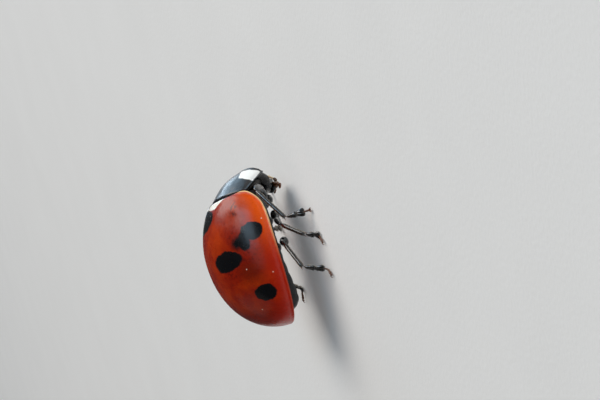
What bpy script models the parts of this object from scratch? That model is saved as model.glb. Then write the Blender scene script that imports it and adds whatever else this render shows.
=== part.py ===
"""Seven-spot ladybird (Coccinella septempunctata), a life-size male standing on its six feet.

All sizes are in millimetres and become metres in new_object. +X is forward, +Y is the animal's left,
+Z is up, and the floor is at Z = 0. Each plate of the shell and each part of a leg is its own solid.
"""

import math

import bmesh
import bpy
from mathutils import Matrix, Vector

MM = 0.001
GAP = 0.04  # clearance between neighbouring solids

# The wing cases: two shells that share one dome
MARGIN_Z = 1.55  # height of the dome's lower edge
DOME_RISE = 2.47  # from that edge to the top of the back
HALF_WIDTH = 2.60
TOP_X = -0.08  # the highest and widest section
BASE_X = 2.15  # front edge of the wing cases
APEX_X = -3.40  # tip of the tail
SHELL = 0.45
PLAN_REACH = 3.79  # front half-axis of the outline seen from above
PROFILE_REACH = 2.86  # front half-axis of the outline seen from the side
DOME_POWER = 2.06
TAIL_POWER = 2.20  # the same behind the widest section, a little fuller
SHOULDER_X = 0.6  # the lower edge rises in front of this
SHOULDER_RISE = 0.06
SHOULDER_ROUNDING = 0.85  # how far the base edge falls back at the shoulder
SHOULDER_POWER = 12
ARCH_X, ARCH_REACH, ARCH_RISE = -0.60, 2.80, 0.12  # the lower edge is a shallow arch

# The small triangular plate between the wing-case bases
SCUTELLUM_HALF_WIDTH = 0.26
SCUTELLUM_LENGTH = 0.36
SCUTELLUM_DEPTH = 0.26

# The pronotum, an arched plate that slopes steeply down to the bowed head. Each end has the top of
# its arch and the foot of it, as (x, z), and a half width at that foot.
PRONOTUM_THICKNESS = 0.26
PRONOTUM_BASE = {"top": (2.20, 3.16), "foot": (2.14, 2.04), "half_width": 1.96}
PRONOTUM_FRONT = {"top": (3.13, 1.56), "foot": (2.72, 1.06), "half_width": 1.33}
PRONOTUM_SWELL = 0.20
PRONOTUM_SIDE_SWELL = 0.12
PRONOTUM_BROW = 0.26  # how far its front edge juts forward on each side of the head
PRONOTUM_SLOPE = math.radians(60)
PROTHORAX_SHARE = 0.50  # how far forward under the pronotum the body's own core reaches
PROSTERNUM_Z = 1.06  # underside of that core

# The trunk under the wing cases
BELLY_DEPTH = 0.42  # below the dome's lower edge
TAIL_SAG = 0.45  # how much lower the belly hangs towards the tail
WAIST_X = -0.42  # between thorax and abdomen
THORAX_FRONT_X = 2.08
CHEST_DEEP_X = 1.20  # in front of this the chest grows deeper
CHEST_DEEPENING = 0.22
SEGMENT_STEP = 0.05  # how far each belly plate overhangs the next
SEGMENT_EDGE = 0.05  # from a plate's deepest line to its rear edge
SEGMENT_CREASE = 0.02
SEGMENT_ENDS = (-0.98, -1.48, -1.94, -2.36, -2.70)
TAIL_TIP_RUN = 0.07
TAIL_TIP_DEPTH = 0.16

# The head, bowed under the pronotum. Places on it are from its middle, before it is bowed.
HEAD_CENTRE = Vector((2.44, 0.0, 1.02))
HEAD_BOW = math.radians(44)
HEAD_HALF = Vector((0.36, 0.86, 0.52))
EYE_PLACE = Vector((0.06, 0.70, 0.06))
EYE_HALF = Vector((0.23, 0.23, 0.32))
MOUTH_PLACE = Vector((0.10, 0.0, -0.46))
MOUTH_HALF = Vector((0.26, 0.42, 0.20))

FEELER_RADIUS = 0.20
FEELER_CAP_RUN = 0.07  # its ends narrow over this length, to this share of the radius
FEELER_CAP_SHARE = 0.70
ANTENNA_CLUB = 0.03  # how much thicker the tip is than the root
PALP_CLUB = 0.02
ANTENNA_PATH = ((0.46, 0.55, -0.21), (0.40, 0.84, -0.34), (0.27, 1.06, -0.44), (0.12, 1.24, -0.52))
PALP_PATH = ((0.21, 0.43, -0.62), (0.18, 0.59, -0.69), (0.13, 0.73, -0.74))

# Legs: where each joint stands. The right side is swept back, the left side reaches forward.
HIP_Z = 1.00
TOE_Z = 0.17
HIPS = {"front": (1.66, 0.50), "middle": (0.95, 0.82), "hind": (-0.20, 0.92)}
# Knee (x, y, z), ankle (x, y, z), toe (x, y), and the share of the foot's length where it reaches the floor
STANCE = {
    "right": {
        "front": ((2.00, 2.24, 1.67), (0.60, 2.64, 0.96), (0.46, 3.48), 0.60),
        "middle": ((0.36, 2.32, 1.18), (-0.36, 3.14, 0.58), (-0.98, 3.84), 0.36),
        "hind": ((-0.36, 2.24, 1.30), (-1.54, 2.84, 1.00), (-2.32, 3.46), 0.58),
    },
    "left": {
        "front": ((2.28, 2.06, 1.30), (2.30, 3.04, 0.54), (2.84, 3.78), 0.34),
        "middle": ((0.95, 2.30, 1.20), (0.84, 3.30, 0.52), (0.86, 4.22), 0.34),
        "hind": ((-0.55, 2.32, 1.20), (-1.62, 3.06, 0.54), (-2.46, 3.54), 0.34),
    },
}
COXA_HALF = Vector((0.40, 0.30, 0.27))
KNEE_RADIUS = 0.22
ANKLE_RADIUS = 0.18
CAP_ANGLES = (0.0, 35.0, 65.0)  # rings of the rounded end of a thigh or a shin, in degrees
# (share of the length, radius)
FEMUR_PROFILE = ((0.0, 0.17), (0.14, 0.24), (0.45, 0.29), (0.72, 0.26), (0.90, 0.22))
TIBIA_PROFILE = ((0.0, 0.20), (0.30, 0.22), (0.70, 0.23), (0.90, 0.22))
TARSUS_PROFILE = (
    (0.0, 0.16), (0.16, 0.19), (0.36, 0.25), (0.42, 0.20),
    (0.62, 0.25), (0.70, 0.20), (0.94, 0.20), (1.0, 0.12),
)
FOOT_SETBACK = 0.09  # the foot's solid starts this far in front of the ankle's middle
FOOT_BEND_SHARE = 0.10  # and turns level over this share of its length
LEG_SIDES = 10
FEELER_SIDES = 8

DOME_COLUMNS = 20  # from base to tail
DOME_ROWS = 11  # from suture to lower edge
ROW_CROWDING = 1.3  # above 1, the rows lie closer together towards the lower edge
PRONOTUM_COLUMNS = 6
PRONOTUM_ROWS = 14
TRUNK_SIDES = 28
CHEST_STEPS = 7
CORE_STEPS = 4
HEAD_SEGMENTS = 22
HEAD_ROWS = 12

FINISHES = {  # colour, roughness
    "red_shell": ((0.62, 0.060, 0.012), 0.22),
    "black_shell": ((0.010, 0.010, 0.012), 0.28),
    "black_leg": ((0.012, 0.011, 0.010), 0.42),
    "belly": ((0.014, 0.013, 0.012), 0.50),
    "eye": ((0.008, 0.008, 0.010), 0.12),
    "feeler": ((0.110, 0.045, 0.016), 0.45),
}


def clear_scene():
    for old in list(bpy.data.objects):
        bpy.data.objects.remove(old, do_unlink=True)


def finish(name):
    """The material of that name, made once."""
    material = bpy.data.materials.get(name)
    if material is None:
        colour, roughness = FINISHES[name]
        material = bpy.data.materials.new(name)
        material.use_nodes = True
        shader = material.node_tree.nodes["Principled BSDF"]
        shader.inputs["Base Color"].default_value = (*colour, 1.0)
        shader.inputs["Roughness"].default_value = roughness
        shader.inputs["Metallic"].default_value = 0.0
    return material


def new_object(name, points, faces, material):
    """An object from points in millimetres, with every face turned outwards."""
    mesh = bpy.data.meshes.new(name)
    shape = bmesh.new()
    corners = [shape.verts.new(Vector(p) * MM) for p in points]
    for face in faces:
        shape.faces.new([corners[i] for i in face])
    bmesh.ops.recalc_face_normals(shape, faces=shape.faces)
    shape.to_mesh(mesh)
    shape.free()
    mesh.materials.append(finish(material))
    mesh.shade_smooth()
    mesh.set_sharp_from_angle(angle=math.radians(40))
    made = bpy.data.objects.new(name, mesh)
    bpy.context.scene.collection.objects.link(made)
    return made


def loft(name, rings, material):
    """A closed solid through a row of rings. A ring of one point is a tip, and any other end is capped."""
    points, starts, faces = [], [], []
    for ring in rings:
        starts.append(len(points))
        points.extend(ring)
    for ring, following, here, there in zip(rings, rings[1:], starts, starts[1:]):
        count = max(len(ring), len(following))
        for i in range(count):
            j = (i + 1) % count
            if len(ring) == 1:
                faces.append((here, there + j, there + i))
            elif len(following) == 1:
                faces.append((here + i, here + j, there))
            else:
                faces.append((here + i, here + j, there + j, there + i))
    for ring, start in ((rings[0], starts[0]), (rings[-1], starts[-1])):
        if len(ring) > 1:
            faces.append(tuple(range(start, start + len(ring))))
    return new_object(name, points, faces, material)


def ellipsoid(name, centre, half, material, turn, segments, rows, grow=0.0):
    """An ellipsoid with those half-axes, turned if need be, and grown all round for use as a cutter."""
    mesh = bpy.data.meshes.new(name)
    shape = bmesh.new()
    bmesh.ops.create_uvsphere(shape, u_segments=segments, v_segments=rows, radius=1.0)
    size = Matrix.Diagonal(((half.x + grow) * MM, (half.y + grow) * MM, (half.z + grow) * MM, 1.0))
    place = Matrix.Translation(centre * MM) @ (turn.to_4x4() if turn else Matrix.Identity(4))
    bmesh.ops.transform(shape, matrix=place @ size, verts=shape.verts)
    shape.to_mesh(mesh)
    shape.free()
    mesh.materials.append(finish(material))
    mesh.shade_smooth()
    made = bpy.data.objects.new(name, mesh)
    bpy.context.scene.collection.objects.link(made)
    return made


def sink(body, cutter):
    """Cuts a hidden cutter out of a body, so that the piece it stands for lies in a socket."""
    cutter.hide_render = True
    cutter.display_type = "WIRE"
    cut = body.modifiers.new("socket " + cutter.name, "BOOLEAN")
    cut.operation = "DIFFERENCE"
    cut.solver = "EXACT"
    cut.object = cutter


# ---------------------------------------------------------------- wing cases and trunk


def dome_share(x, front_reach, inset=0.0):
    """From 1 at the dome's top section to 0 at its tail, as a superellipse."""
    reach, power = (front_reach, DOME_POWER) if x > TOP_X else (TOP_X - APEX_X - inset, TAIL_POWER)
    along = min(1.0, abs(x - TOP_X) / reach)
    return (1.0 - along**power) ** (1.0 / power)


def margin_height(x):
    arch = ARCH_RISE * (1.0 - ((x - ARCH_X) / ARCH_REACH) ** 2)
    return MARGIN_Z + arch + SHOULDER_RISE * max(0.0, x - SHOULDER_X) ** 2


def dome_point(x, angle, inset=0.0):
    """A point of the dome at angle from the suture (0) to the left lower edge (90 degrees)."""
    half_width = (HALF_WIDTH - inset) * dome_share(x, PLAN_REACH, inset)
    rise = (DOME_RISE - inset) * dome_share(x, PROFILE_REACH, inset)
    return Vector((x, half_width * math.sin(angle), margin_height(x) + rise * math.cos(angle)))


def base_x(share):
    """Front edge of a wing case, where share runs from the suture (0) to the lower edge (1)."""
    notch = SCUTELLUM_LENGTH if share == 0.0 else 0.0
    return BASE_X - notch - SHOULDER_ROUNDING * share**SHOULDER_POWER


def scutellum_angle():
    """The dome angle at which the scutellum's side corner lies."""
    return math.asin((SCUTELLUM_HALF_WIDTH + GAP) / (HALF_WIDTH * dome_share(BASE_X, PLAN_REACH)))


def wing_case_grid(side, inset):
    """Rows from suture to lower edge, each running from the base to the shared tail tip."""
    start = scutellum_angle()
    angles = [0.0]
    for row in range(DOME_ROWS - 1):
        to_edge = (1.0 - row / (DOME_ROWS - 2)) ** ROW_CROWDING
        angles.append(math.pi / 2 - (math.pi / 2 - start) * to_edge)
    apex = APEX_X + inset
    rows = []
    for angle in angles:
        front = base_x(angle / (math.pi / 2))
        row = []
        for column in range(DOME_COLUMNS):
            share = math.sin(math.pi / 2 * column / DOME_COLUMNS)
            point = dome_point(front + (apex - front) * share, angle, inset)
            row.append(Vector((point.x, side * (point.y + GAP / 2), point.z)))
        rows.append(row)
    tip = Vector((apex, side * GAP / 2, margin_height(apex)))
    return rows, tip


def wing_case(name, side):
    """A shell between an outer and an inner dome surface, closed at the suture, base and lower edge."""
    points, faces = [], []

    def add(grid):
        rows, tip = grid
        index = []
        for row in rows:
            index.append(range(len(points), len(points) + len(row)))
            points.extend(row)
        points.append(tip)
        return index, len(points) - 1

    outer, outer_tip = add(wing_case_grid(side, 0.0))
    inner, inner_tip = add(wing_case_grid(side, SHELL))
    for grid, tip in ((outer, outer_tip), (inner, inner_tip)):
        for row, below in zip(grid, grid[1:]):
            for c in range(DOME_COLUMNS - 1):
                faces.append((row[c], row[c + 1], below[c + 1], below[c]))
            faces.append((row[-1], tip, below[-1]))
    for edge in (0, -1):
        for c in range(DOME_COLUMNS - 1):
            faces.append((outer[edge][c], outer[edge][c + 1], inner[edge][c + 1], inner[edge][c]))
        faces.append((outer[edge][-1], outer_tip, inner_tip, inner[edge][-1]))
    for r in range(len(outer) - 1):
        faces.append((outer[r][0], outer[r + 1][0], inner[r + 1][0], inner[r][0]))
    return new_object(name, points, faces, "red_shell")


def scutellum():
    """A small three-cornered plate, set in the notch at the wing-case bases."""
    half_width = SCUTELLUM_HALF_WIDTH - GAP
    rear = BASE_X - SCUTELLUM_LENGTH + 3 * GAP
    corners = [(BASE_X - GAP, -half_width), (BASE_X - GAP, half_width), (rear, 0.0)]
    top = dome_point(BASE_X, 0.0).z
    upper = [Vector((x, y, top - 0.02)) for x, y in corners]
    upper[2].z = dome_point(rear, 0.0).z - 0.02
    lower = [p - Vector((0, 0, SCUTELLUM_DEPTH)) for p in upper]
    return loft("scutellum", [lower, upper], "black_shell")


def trunk_ring(x, belly, inset=SHELL + GAP):
    """A ring of the trunk: it follows the inside of the wing cases above and bulges to the belly below."""
    ring = []
    half_width = (HALF_WIDTH - inset) * dome_share(x, PLAN_REACH, inset)
    rise = (DOME_RISE - inset) * dome_share(x, PROFILE_REACH, inset)
    for i in range(TRUNK_SIDES):
        angle = 2 * math.pi * (i + 0.5) / TRUNK_SIDES
        depth = rise if math.cos(angle) > 0 else belly
        ring.append(Vector((x, half_width * math.sin(angle), margin_height(x) + depth * math.cos(angle))))
    return ring


def thorax():
    """The chest: a little deeper towards the front legs."""
    rings = []
    for i in range(CHEST_STEPS + 1):
        x = WAIST_X + GAP / 2 + (THORAX_FRONT_X - WAIST_X) * i / CHEST_STEPS
        rings.append(trunk_ring(x, BELLY_DEPTH + CHEST_DEEPENING * max(0.0, x - CHEST_DEEP_X)))
    return loft("thorax", rings, "belly")


def abdomen():
    """Six belly plates, each a little deeper at its rear edge than the next begins."""
    tail = APEX_X + SHELL + GAP
    rings = [trunk_ring(WAIST_X - GAP / 2, BELLY_DEPTH)]
    for end in SEGMENT_ENDS:
        share = (WAIST_X - end) / (WAIST_X - tail)
        belly = (BELLY_DEPTH + TAIL_SAG * share**2) * math.sqrt(max(0.0, 1.0 - share**5))
        rings.append(trunk_ring(end + SEGMENT_EDGE, belly))
        rings.append(trunk_ring(end - SEGMENT_CREASE, belly - SEGMENT_STEP))
    rings.append(trunk_ring(tail + TAIL_TIP_RUN, TAIL_TIP_DEPTH))
    rings.append([Vector((tail, 0.0, margin_height(tail)))])
    return loft("abdomen", rings, "belly")


# ---------------------------------------------------------------- pronotum and head


def mixed(base, front, share):
    return base + (front - base) * share


def pronotum_point(share, angle, inset=0.0):
    """A point of the arch, where share runs from base (0) to front (1) and angle is from the arch's top."""
    swell = math.sin(math.pi * share)
    outwards = Vector((math.sin(PRONOTUM_SLOPE), 0.0, math.cos(PRONOTUM_SLOPE)))
    top, foot = (
        Vector((
            mixed(PRONOTUM_BASE[end][0], PRONOTUM_FRONT[end][0], share),
            0.0,
            mixed(PRONOTUM_BASE[end][1], PRONOTUM_FRONT[end][1], share),
        ))
        for end in ("top", "foot")
    )
    top += outwards * (PRONOTUM_SWELL * swell - inset)
    half_width = mixed(PRONOTUM_BASE["half_width"], PRONOTUM_FRONT["half_width"], share)
    half_width += PRONOTUM_SIDE_SWELL * swell - inset
    point = foot + (top - foot) * math.cos(angle)
    base_plane = mixed(PRONOTUM_BASE["foot"][0], PRONOTUM_BASE["top"][0], math.cos(angle))
    brow = PRONOTUM_BROW * share**2 * math.sin(angle) ** 2 * abs(math.cos(angle))
    point.x = max(point.x, base_plane) + brow
    point.y = half_width * math.sin(angle)
    return point


def pronotum():
    """An arched plate, closed by bands along its base, front and two side edges."""
    rings = []
    for column in range(PRONOTUM_COLUMNS + 1):
        share = column / PRONOTUM_COLUMNS
        angles = [math.pi * (row / PRONOTUM_ROWS - 0.5) for row in range(PRONOTUM_ROWS + 1)]
        over = [pronotum_point(share, a) for a in angles]
        under = [pronotum_point(share, a, PRONOTUM_THICKNESS) for a in reversed(angles)]
        rings.append(over + under)
    return loft("pronotum", rings, "black_shell")


def prothorax():
    """The core under the pronotum, which carries the head and the front legs."""
    rings = []
    for i in range(CORE_STEPS + 1):
        share = PROTHORAX_SHARE * i / CORE_STEPS
        ring = []
        for j in range(TRUNK_SIDES):
            angle = 2 * math.pi * (j + 0.5) / TRUNK_SIDES
            point = pronotum_point(share, angle, PRONOTUM_THICKNESS + GAP)
            if math.cos(angle) < 0:
                foot = pronotum_point(share, math.pi / 2, PRONOTUM_THICKNESS + GAP)
                point.x = foot.x
                point.z = foot.z + (foot.z - PROSTERNUM_Z) * math.cos(angle)
            ring.append(point)
        rings.append(ring)
    return loft("prothorax", rings, "belly")


def mirrored(point, side):
    return Vector((point[0], side * point[1], point[2]))


def on_head(place, side=1):
    """A place on the bowed head, in the model's frame."""
    return HEAD_CENTRE + Matrix.Rotation(HEAD_BOW, 3, "Y") @ mirrored(place, side)


def head(trunks):
    """The skull, sunk into the trunk, with the eyes and the mouthparts in sockets of their own."""
    bow = Matrix.Rotation(HEAD_BOW, 3, "Y")
    skull = ellipsoid("head", HEAD_CENTRE, HEAD_HALF, "black_shell", bow, HEAD_SEGMENTS, HEAD_ROWS)
    socket = ellipsoid("head_socket", HEAD_CENTRE, HEAD_HALF, "black_shell", bow, HEAD_SEGMENTS, HEAD_ROWS, GAP)
    for trunk in trunks:
        sink(trunk, socket)
    for name, side in (("right", -1), ("left", 1)):
        centre = on_head(EYE_PLACE, side)
        sink(skull, ellipsoid("eye_socket_" + name, centre, EYE_HALF, "eye", bow, 14, 8, GAP))
        ellipsoid("eye_" + name, centre, EYE_HALF, "eye", bow, 14, 8)
    mouth = on_head(MOUTH_PLACE)
    sink(skull, ellipsoid("mouth_socket", mouth, MOUTH_HALF, "black_shell", bow, 12, 8, GAP))
    ellipsoid("mouthparts", mouth, MOUTH_HALF, "black_shell", bow, 12, 8)


def feeler(name, places, side, club):
    """A short jointed feeler that ends in a club."""
    path = [on_head(place, side) for place in places]
    rings = []
    for i, point in enumerate(path):
        ahead = path[min(i + 1, len(path) - 1)] - path[max(i - 1, 0)]
        radius = FEELER_RADIUS + club * i / (len(path) - 1)
        if i in (0, len(path) - 1):
            inward = ahead.normalized() * (FEELER_CAP_RUN if i == 0 else -FEELER_CAP_RUN)
            rings.append(ring_round(point, ahead, radius * FEELER_CAP_SHARE, FEELER_SIDES))
            rings.append(ring_round(point + inward, ahead, radius, FEELER_SIDES))
        else:
            rings.append(ring_round(point, ahead, radius, FEELER_SIDES))
    rings[-2:] = reversed(rings[-2:])
    return loft(name, rings, "feeler")


# ---------------------------------------------------------------- legs


def ring_round(centre, direction, radius, sides):
    """A circle of points square to a direction."""
    ahead = direction.normalized()
    across = ahead.cross(Vector((0, 0, 1))).normalized()
    upward = across.cross(ahead)
    return [
        centre + radius * (math.cos(turn) * across + math.sin(turn) * upward)
        for turn in (2 * math.pi * (i + 0.5) / sides for i in range(sides))
    ]


def limb(name, start, end, profile, end_radius, grow=0.0):
    """A straight piece of leg whose radius follows its profile, with a rounded far end for the next joint."""
    along = end - start
    ahead = along.normalized()
    rings = [ring_round(start + along * share, along, radius + grow, LEG_SIDES) for share, radius in profile]
    cap = end_radius + grow
    for degrees in CAP_ANGLES:
        turn = math.radians(degrees)
        rings.append(ring_round(end + ahead * (cap * math.sin(turn)), along, cap * math.cos(turn), LEG_SIDES))
    rings.append([end + ahead * cap])
    return loft(name, rings, "black_leg")


def foot(name, ankle, toe, landing_share):
    """The tarsus: it slopes down to the floor and lies along it, with its underside pressed flat."""
    start = ankle + (toe - ankle).normalized() * FOOT_SETBACK
    landing = start + (toe - start) * landing_share
    landing.z = TOE_Z
    rings = []
    for share, radius in TARSUS_PROFILE:
        if share < landing_share:
            centre = start + (landing - start) * (share / landing_share)
            ahead = landing - start
        else:
            centre = landing + (toe - landing) * ((share - landing_share) / (1.0 - landing_share))
            ahead = toe - start if share - landing_share < FOOT_BEND_SHARE else toe - landing
        ring = ring_round(centre, ahead, radius, LEG_SIDES)
        rings.append([Vector((p.x, p.y, max(0.0, p.z))) for p in ring])
    return loft(name, rings, "black_leg")


def leg(pair, side_name, trunks):
    """One leg: a hip sunk into the trunk, a thigh in a groove of it, then a shin and a foot, each hollowed
    at its start for the end of the last.
    """
    side = 1 if side_name == "left" else -1
    suffix = f"_{pair}_{side_name}"
    knee_place, ankle_place, toe_place, landing_share = STANCE[side_name][pair]
    hip = mirrored((*HIPS[pair], HIP_Z), side)
    knee = mirrored(knee_place, side)
    ankle = mirrored(ankle_place, side)
    toe = mirrored((*toe_place, TOE_Z), side)
    turn = Matrix.Rotation(math.atan2(knee.y - hip.y, knee.x - hip.x), 3, "Z")
    ellipsoid("coxa" + suffix, hip, COXA_HALF, "black_leg", turn, 10, 6)
    hip_socket = ellipsoid("hip_socket" + suffix, hip, COXA_HALF, "black_leg", turn, 10, 6, GAP)
    out = (knee - hip).normalized()
    groove_start = hip + out * COXA_HALF.x
    limb("femur" + suffix, groove_start + out * GAP, knee, FEMUR_PROFILE, KNEE_RADIUS)
    thigh_groove = limb("thigh_groove" + suffix, groove_start, knee, FEMUR_PROFILE, KNEE_RADIUS, GAP)
    for trunk in trunks:
        sink(trunk, hip_socket)
        sink(trunk, thigh_groove)
    shin = limb("tibia" + suffix, knee, ankle, TIBIA_PROFILE, ANKLE_RADIUS)
    sink(shin, thigh_groove)
    sole = foot("tarsus" + suffix, ankle, toe, landing_share)
    sink(sole, limb("ankle_socket" + suffix, knee, ankle, TIBIA_PROFILE, ANKLE_RADIUS, GAP))


def centre_on_floor():
    """Moves everything so that the origin lies on the floor, under the middle of the model's own box."""
    corners = [v.co for piece in bpy.data.objects if not piece.hide_render for v in piece.data.vertices]
    middle = Vector((0.0, 0.0, 0.0))
    for axis in (0, 1):
        reach = [p[axis] for p in corners]
        middle[axis] = (min(reach) + max(reach)) / 2
    for piece in bpy.data.objects:
        piece.location = -middle


def build():
    clear_scene()
    wing_case("elytron_right", -1)
    wing_case("elytron_left", 1)
    scutellum()
    pronotum()
    core = prothorax()
    chest = thorax()
    belly = abdomen()
    head((core, chest))
    for side_name, side in (("right", -1), ("left", 1)):
        feeler("antenna_" + side_name, ANTENNA_PATH, side, ANTENNA_CLUB)
        feeler("palp_" + side_name, PALP_PATH, side, PALP_CLUB)
        leg("front", side_name, (core, chest))
        leg("middle", side_name, (chest,))
        leg("hind", side_name, (chest, belly))
    centre_on_floor()


build()
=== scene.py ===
"""The looks of the seven-spot ladybird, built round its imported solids.

Shapes are worked out in millimetres in the model's own frame, with the same formulas as the solids, and
become metres in the row frame in new_piece. +X is forward, +Y the animal's left, +Z up, the floor is Z = 0.
"""

import math
import random

import bmesh
import bpy
import numpy as np
from mathutils import Matrix, Vector


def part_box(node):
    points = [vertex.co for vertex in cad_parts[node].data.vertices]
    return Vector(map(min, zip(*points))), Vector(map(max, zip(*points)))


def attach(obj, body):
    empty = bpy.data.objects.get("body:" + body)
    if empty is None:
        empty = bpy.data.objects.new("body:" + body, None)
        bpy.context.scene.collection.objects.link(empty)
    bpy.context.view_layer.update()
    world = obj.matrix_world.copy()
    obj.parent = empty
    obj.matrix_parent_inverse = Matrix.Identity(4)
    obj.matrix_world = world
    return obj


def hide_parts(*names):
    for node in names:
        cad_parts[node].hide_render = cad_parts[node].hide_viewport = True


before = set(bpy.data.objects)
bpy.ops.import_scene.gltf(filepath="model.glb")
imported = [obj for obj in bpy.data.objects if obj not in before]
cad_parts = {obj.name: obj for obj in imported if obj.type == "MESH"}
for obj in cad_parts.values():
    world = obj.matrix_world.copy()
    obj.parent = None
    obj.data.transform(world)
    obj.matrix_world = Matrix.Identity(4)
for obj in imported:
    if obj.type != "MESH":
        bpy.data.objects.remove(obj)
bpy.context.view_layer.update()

MM = 0.001
SEED = 7
FLOOR_CLEARANCE = 0.004  # in millimetres, kept under whatever lies on the floor
TURN = 2 * math.pi

# ---------------- sizes shared with the solids

MARGIN_Z = 1.55
DOME_RISE = 2.47
HALF_WIDTH = 2.60
TOP_X = -0.08
BASE_X = 2.15
APEX_X = -3.40
PLAN_REACH = 3.79
PROFILE_REACH = 2.86
DOME_POWER = 2.06
TAIL_POWER = 2.20
SHOULDER_X = 0.6
SHOULDER_RISE = 0.06
ARCH_X, ARCH_REACH, ARCH_RISE = -0.60, 2.80, 0.12

SCUTELLUM_HALF_WIDTH = 0.26
SCUTELLUM_LENGTH = 0.36

PRONOTUM_THICKNESS = 0.26
PRONOTUM_BASE = {"top": (2.20, 3.16), "foot": (2.14, 2.04), "half_width": 1.96}
PRONOTUM_FRONT = {"top": (3.13, 1.56), "foot": (2.72, 1.06), "half_width": 1.33}
PRONOTUM_SWELL = 0.20
PRONOTUM_SIDE_SWELL = 0.12
PRONOTUM_BROW = 0.26
PRONOTUM_SLOPE = math.radians(60)
PROTHORAX_SHARE = 0.50
PROSTERNUM_Z = 1.06

BELLY_DEPTH = 0.42
TAIL_SAG = 0.45
WAIST_X = -0.42
THORAX_FRONT_X = 2.08
CHEST_DEEP_X = 1.20
CHEST_DEEPENING = 0.22
SEGMENT_ENDS = (-0.98, -1.48, -1.94, -2.36, -2.70)

HEAD_CENTRE = Vector((2.44, 0.0, 1.02))
HEAD_BOW = math.radians(44)
HEAD_HALF = Vector((0.36, 0.86, 0.52))
EYE_PLACE = Vector((0.06, 0.70, 0.06))
EYE_HALF = Vector((0.23, 0.23, 0.32))
ANTENNA_PATH = ((0.28, 0.52, -0.10), (0.26, 0.80, -0.24), (0.21, 1.02, -0.36), (0.16, 1.20, -0.44))

HIP_Z = 1.00
TOE_Z = 0.17
HIPS = {"front": (1.66, 0.50), "middle": (0.95, 0.82), "hind": (-0.20, 0.92)}
# Knee, ankle, toe on the floor, and the share of the foot's reach at which it comes down to the floor
STANCE = {
    "right": {
        "front": ((1.95, 2.21, 1.71), (0.55, 2.63, 1.00), (0.46, 3.48), 0.60),
        "middle": ((0.36, 2.32, 1.18), (-0.36, 3.14, 0.58), (-0.98, 3.84), 0.36),
        "hind": ((-0.36, 2.24, 1.30), (-1.54, 2.84, 1.00), (-2.32, 3.46), 0.58),
    },
    "left": {
        "front": ((2.28, 2.06, 1.30), (2.30, 3.04, 0.54), (2.84, 3.78), 0.34),
        "middle": ((0.95, 2.30, 1.20), (0.84, 3.30, 0.52), (0.86, 4.18), 0.34),
        "hind": ((-0.55, 2.32, 1.20), (-1.62, 3.06, 0.54), (-2.46, 3.54), 0.34),
    },
}
SIDES = (("right", -1), ("left", 1))


def frame_offset():
    """What turns a place in the model's own frame into one in the row frame, in millimetres."""
    right_low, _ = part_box("elytron_right")
    _, left_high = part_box("elytron_left")
    return Vector((right_low.x / MM - APEX_X, (right_low.y + left_high.y) / 2 / MM, 0.0))


OFFSET = frame_offset()

# ---------------- curves


def smooth_through(marks, values, at):
    """Values of a smooth curve through (mark, value) pairs. A value is a number or a point."""
    marks, values, at = np.asarray(marks, float), np.asarray(values, float), np.asarray(at, float)
    slopes = np.gradient(values, marks, axis=0)
    i = np.clip(np.searchsorted(marks, at, side="right") - 1, 0, len(marks) - 2)
    width = marks[i + 1] - marks[i]
    t = (at - marks[i]) / width
    if values.ndim > 1:
        t, width = t[..., None], width[..., None]
    from_here = (2 * t**3 - 3 * t**2 + 1) * values[i] + (t**3 - 2 * t**2 + t) * width * slopes[i]
    return from_here + (3 * t**2 - 2 * t**3) * values[i + 1] + (t**3 - t**2) * width * slopes[i + 1]


def smooth_step(low, high, value):
    t = np.clip((value - low) / (high - low), 0.0, 1.0)
    return t * t * (3 - 2 * t)


def hump(distance, width):
    """1 at no distance, falling smoothly to 0 at about twice the width."""
    return np.exp(-((distance / width) ** 2))


def ridges(distance, rows):
    """Soft ridges and grooves across a distance. Each row is a ridge's place, width and height."""
    return sum(height * hump(distance - place, width) for place, width, height in rows)


def unit(vectors):
    return vectors / np.maximum(np.linalg.norm(vectors, axis=-1, keepdims=True), 1e-12)


def path_distance(points, path):
    """Each point's distance to the line through the path's points."""
    start, span = path[:-1], np.diff(path, axis=0)
    away = points[..., None, :] - start
    share = np.clip(np.sum(away * span, axis=-1) / np.maximum(np.sum(span**2, axis=-1), 1e-12), 0.0, 1.0)
    return np.linalg.norm(away - share[..., None] * span, axis=-1).min(axis=-1)


# ---------------- meshes


class Shape:
    """Points in millimetres, faces, and each face's material, gathered before they become one mesh."""

    def __init__(self, *rings):
        self.points, self.faces, self.materials, self.marks = [], [], [], []
        for skin in rings:
            self.rings(skin)

    def add_faces(self, faces, material=0):
        self.faces.extend(faces)
        self.materials.extend([material] * (len(self.faces) - len(self.materials)))

    def add(self, points, faces, material=0, marks=None):
        start = len(self.points)
        points = np.asarray(points, float).reshape(-1, 3)
        self.points.extend(points)
        self.add_faces((tuple(start + i for i in face) for face in faces), material)
        self.marks.extend(marks if marks is not None else np.zeros((len(points), 2)))

    def rings(self, rings, material=0, marks=None, closed=True):
        """A skin over a row of rings. A closed one ends in a fan of faces to the last ring's middle."""
        rings = np.asarray(rings, float)
        count, sides = rings.shape[:2]
        points = list(rings.reshape(-1, 3))
        faces = []
        for r in range(count - 1):
            for i in range(sides):
                j = (i + 1) % sides
                faces.append((r * sides + i, r * sides + j, (r + 1) * sides + j, (r + 1) * sides + i))
        marks = None if marks is None else np.asarray(marks, float).reshape(-1, 2)
        for end in (0, count - 1) if closed else ():
            tip, first = len(points), end * sides
            points.append(rings[end].mean(axis=0))
            faces.extend((tip, first + (i + 1) % sides, first + i) for i in range(sides))
        self.add(points, faces, material, marks)


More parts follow.
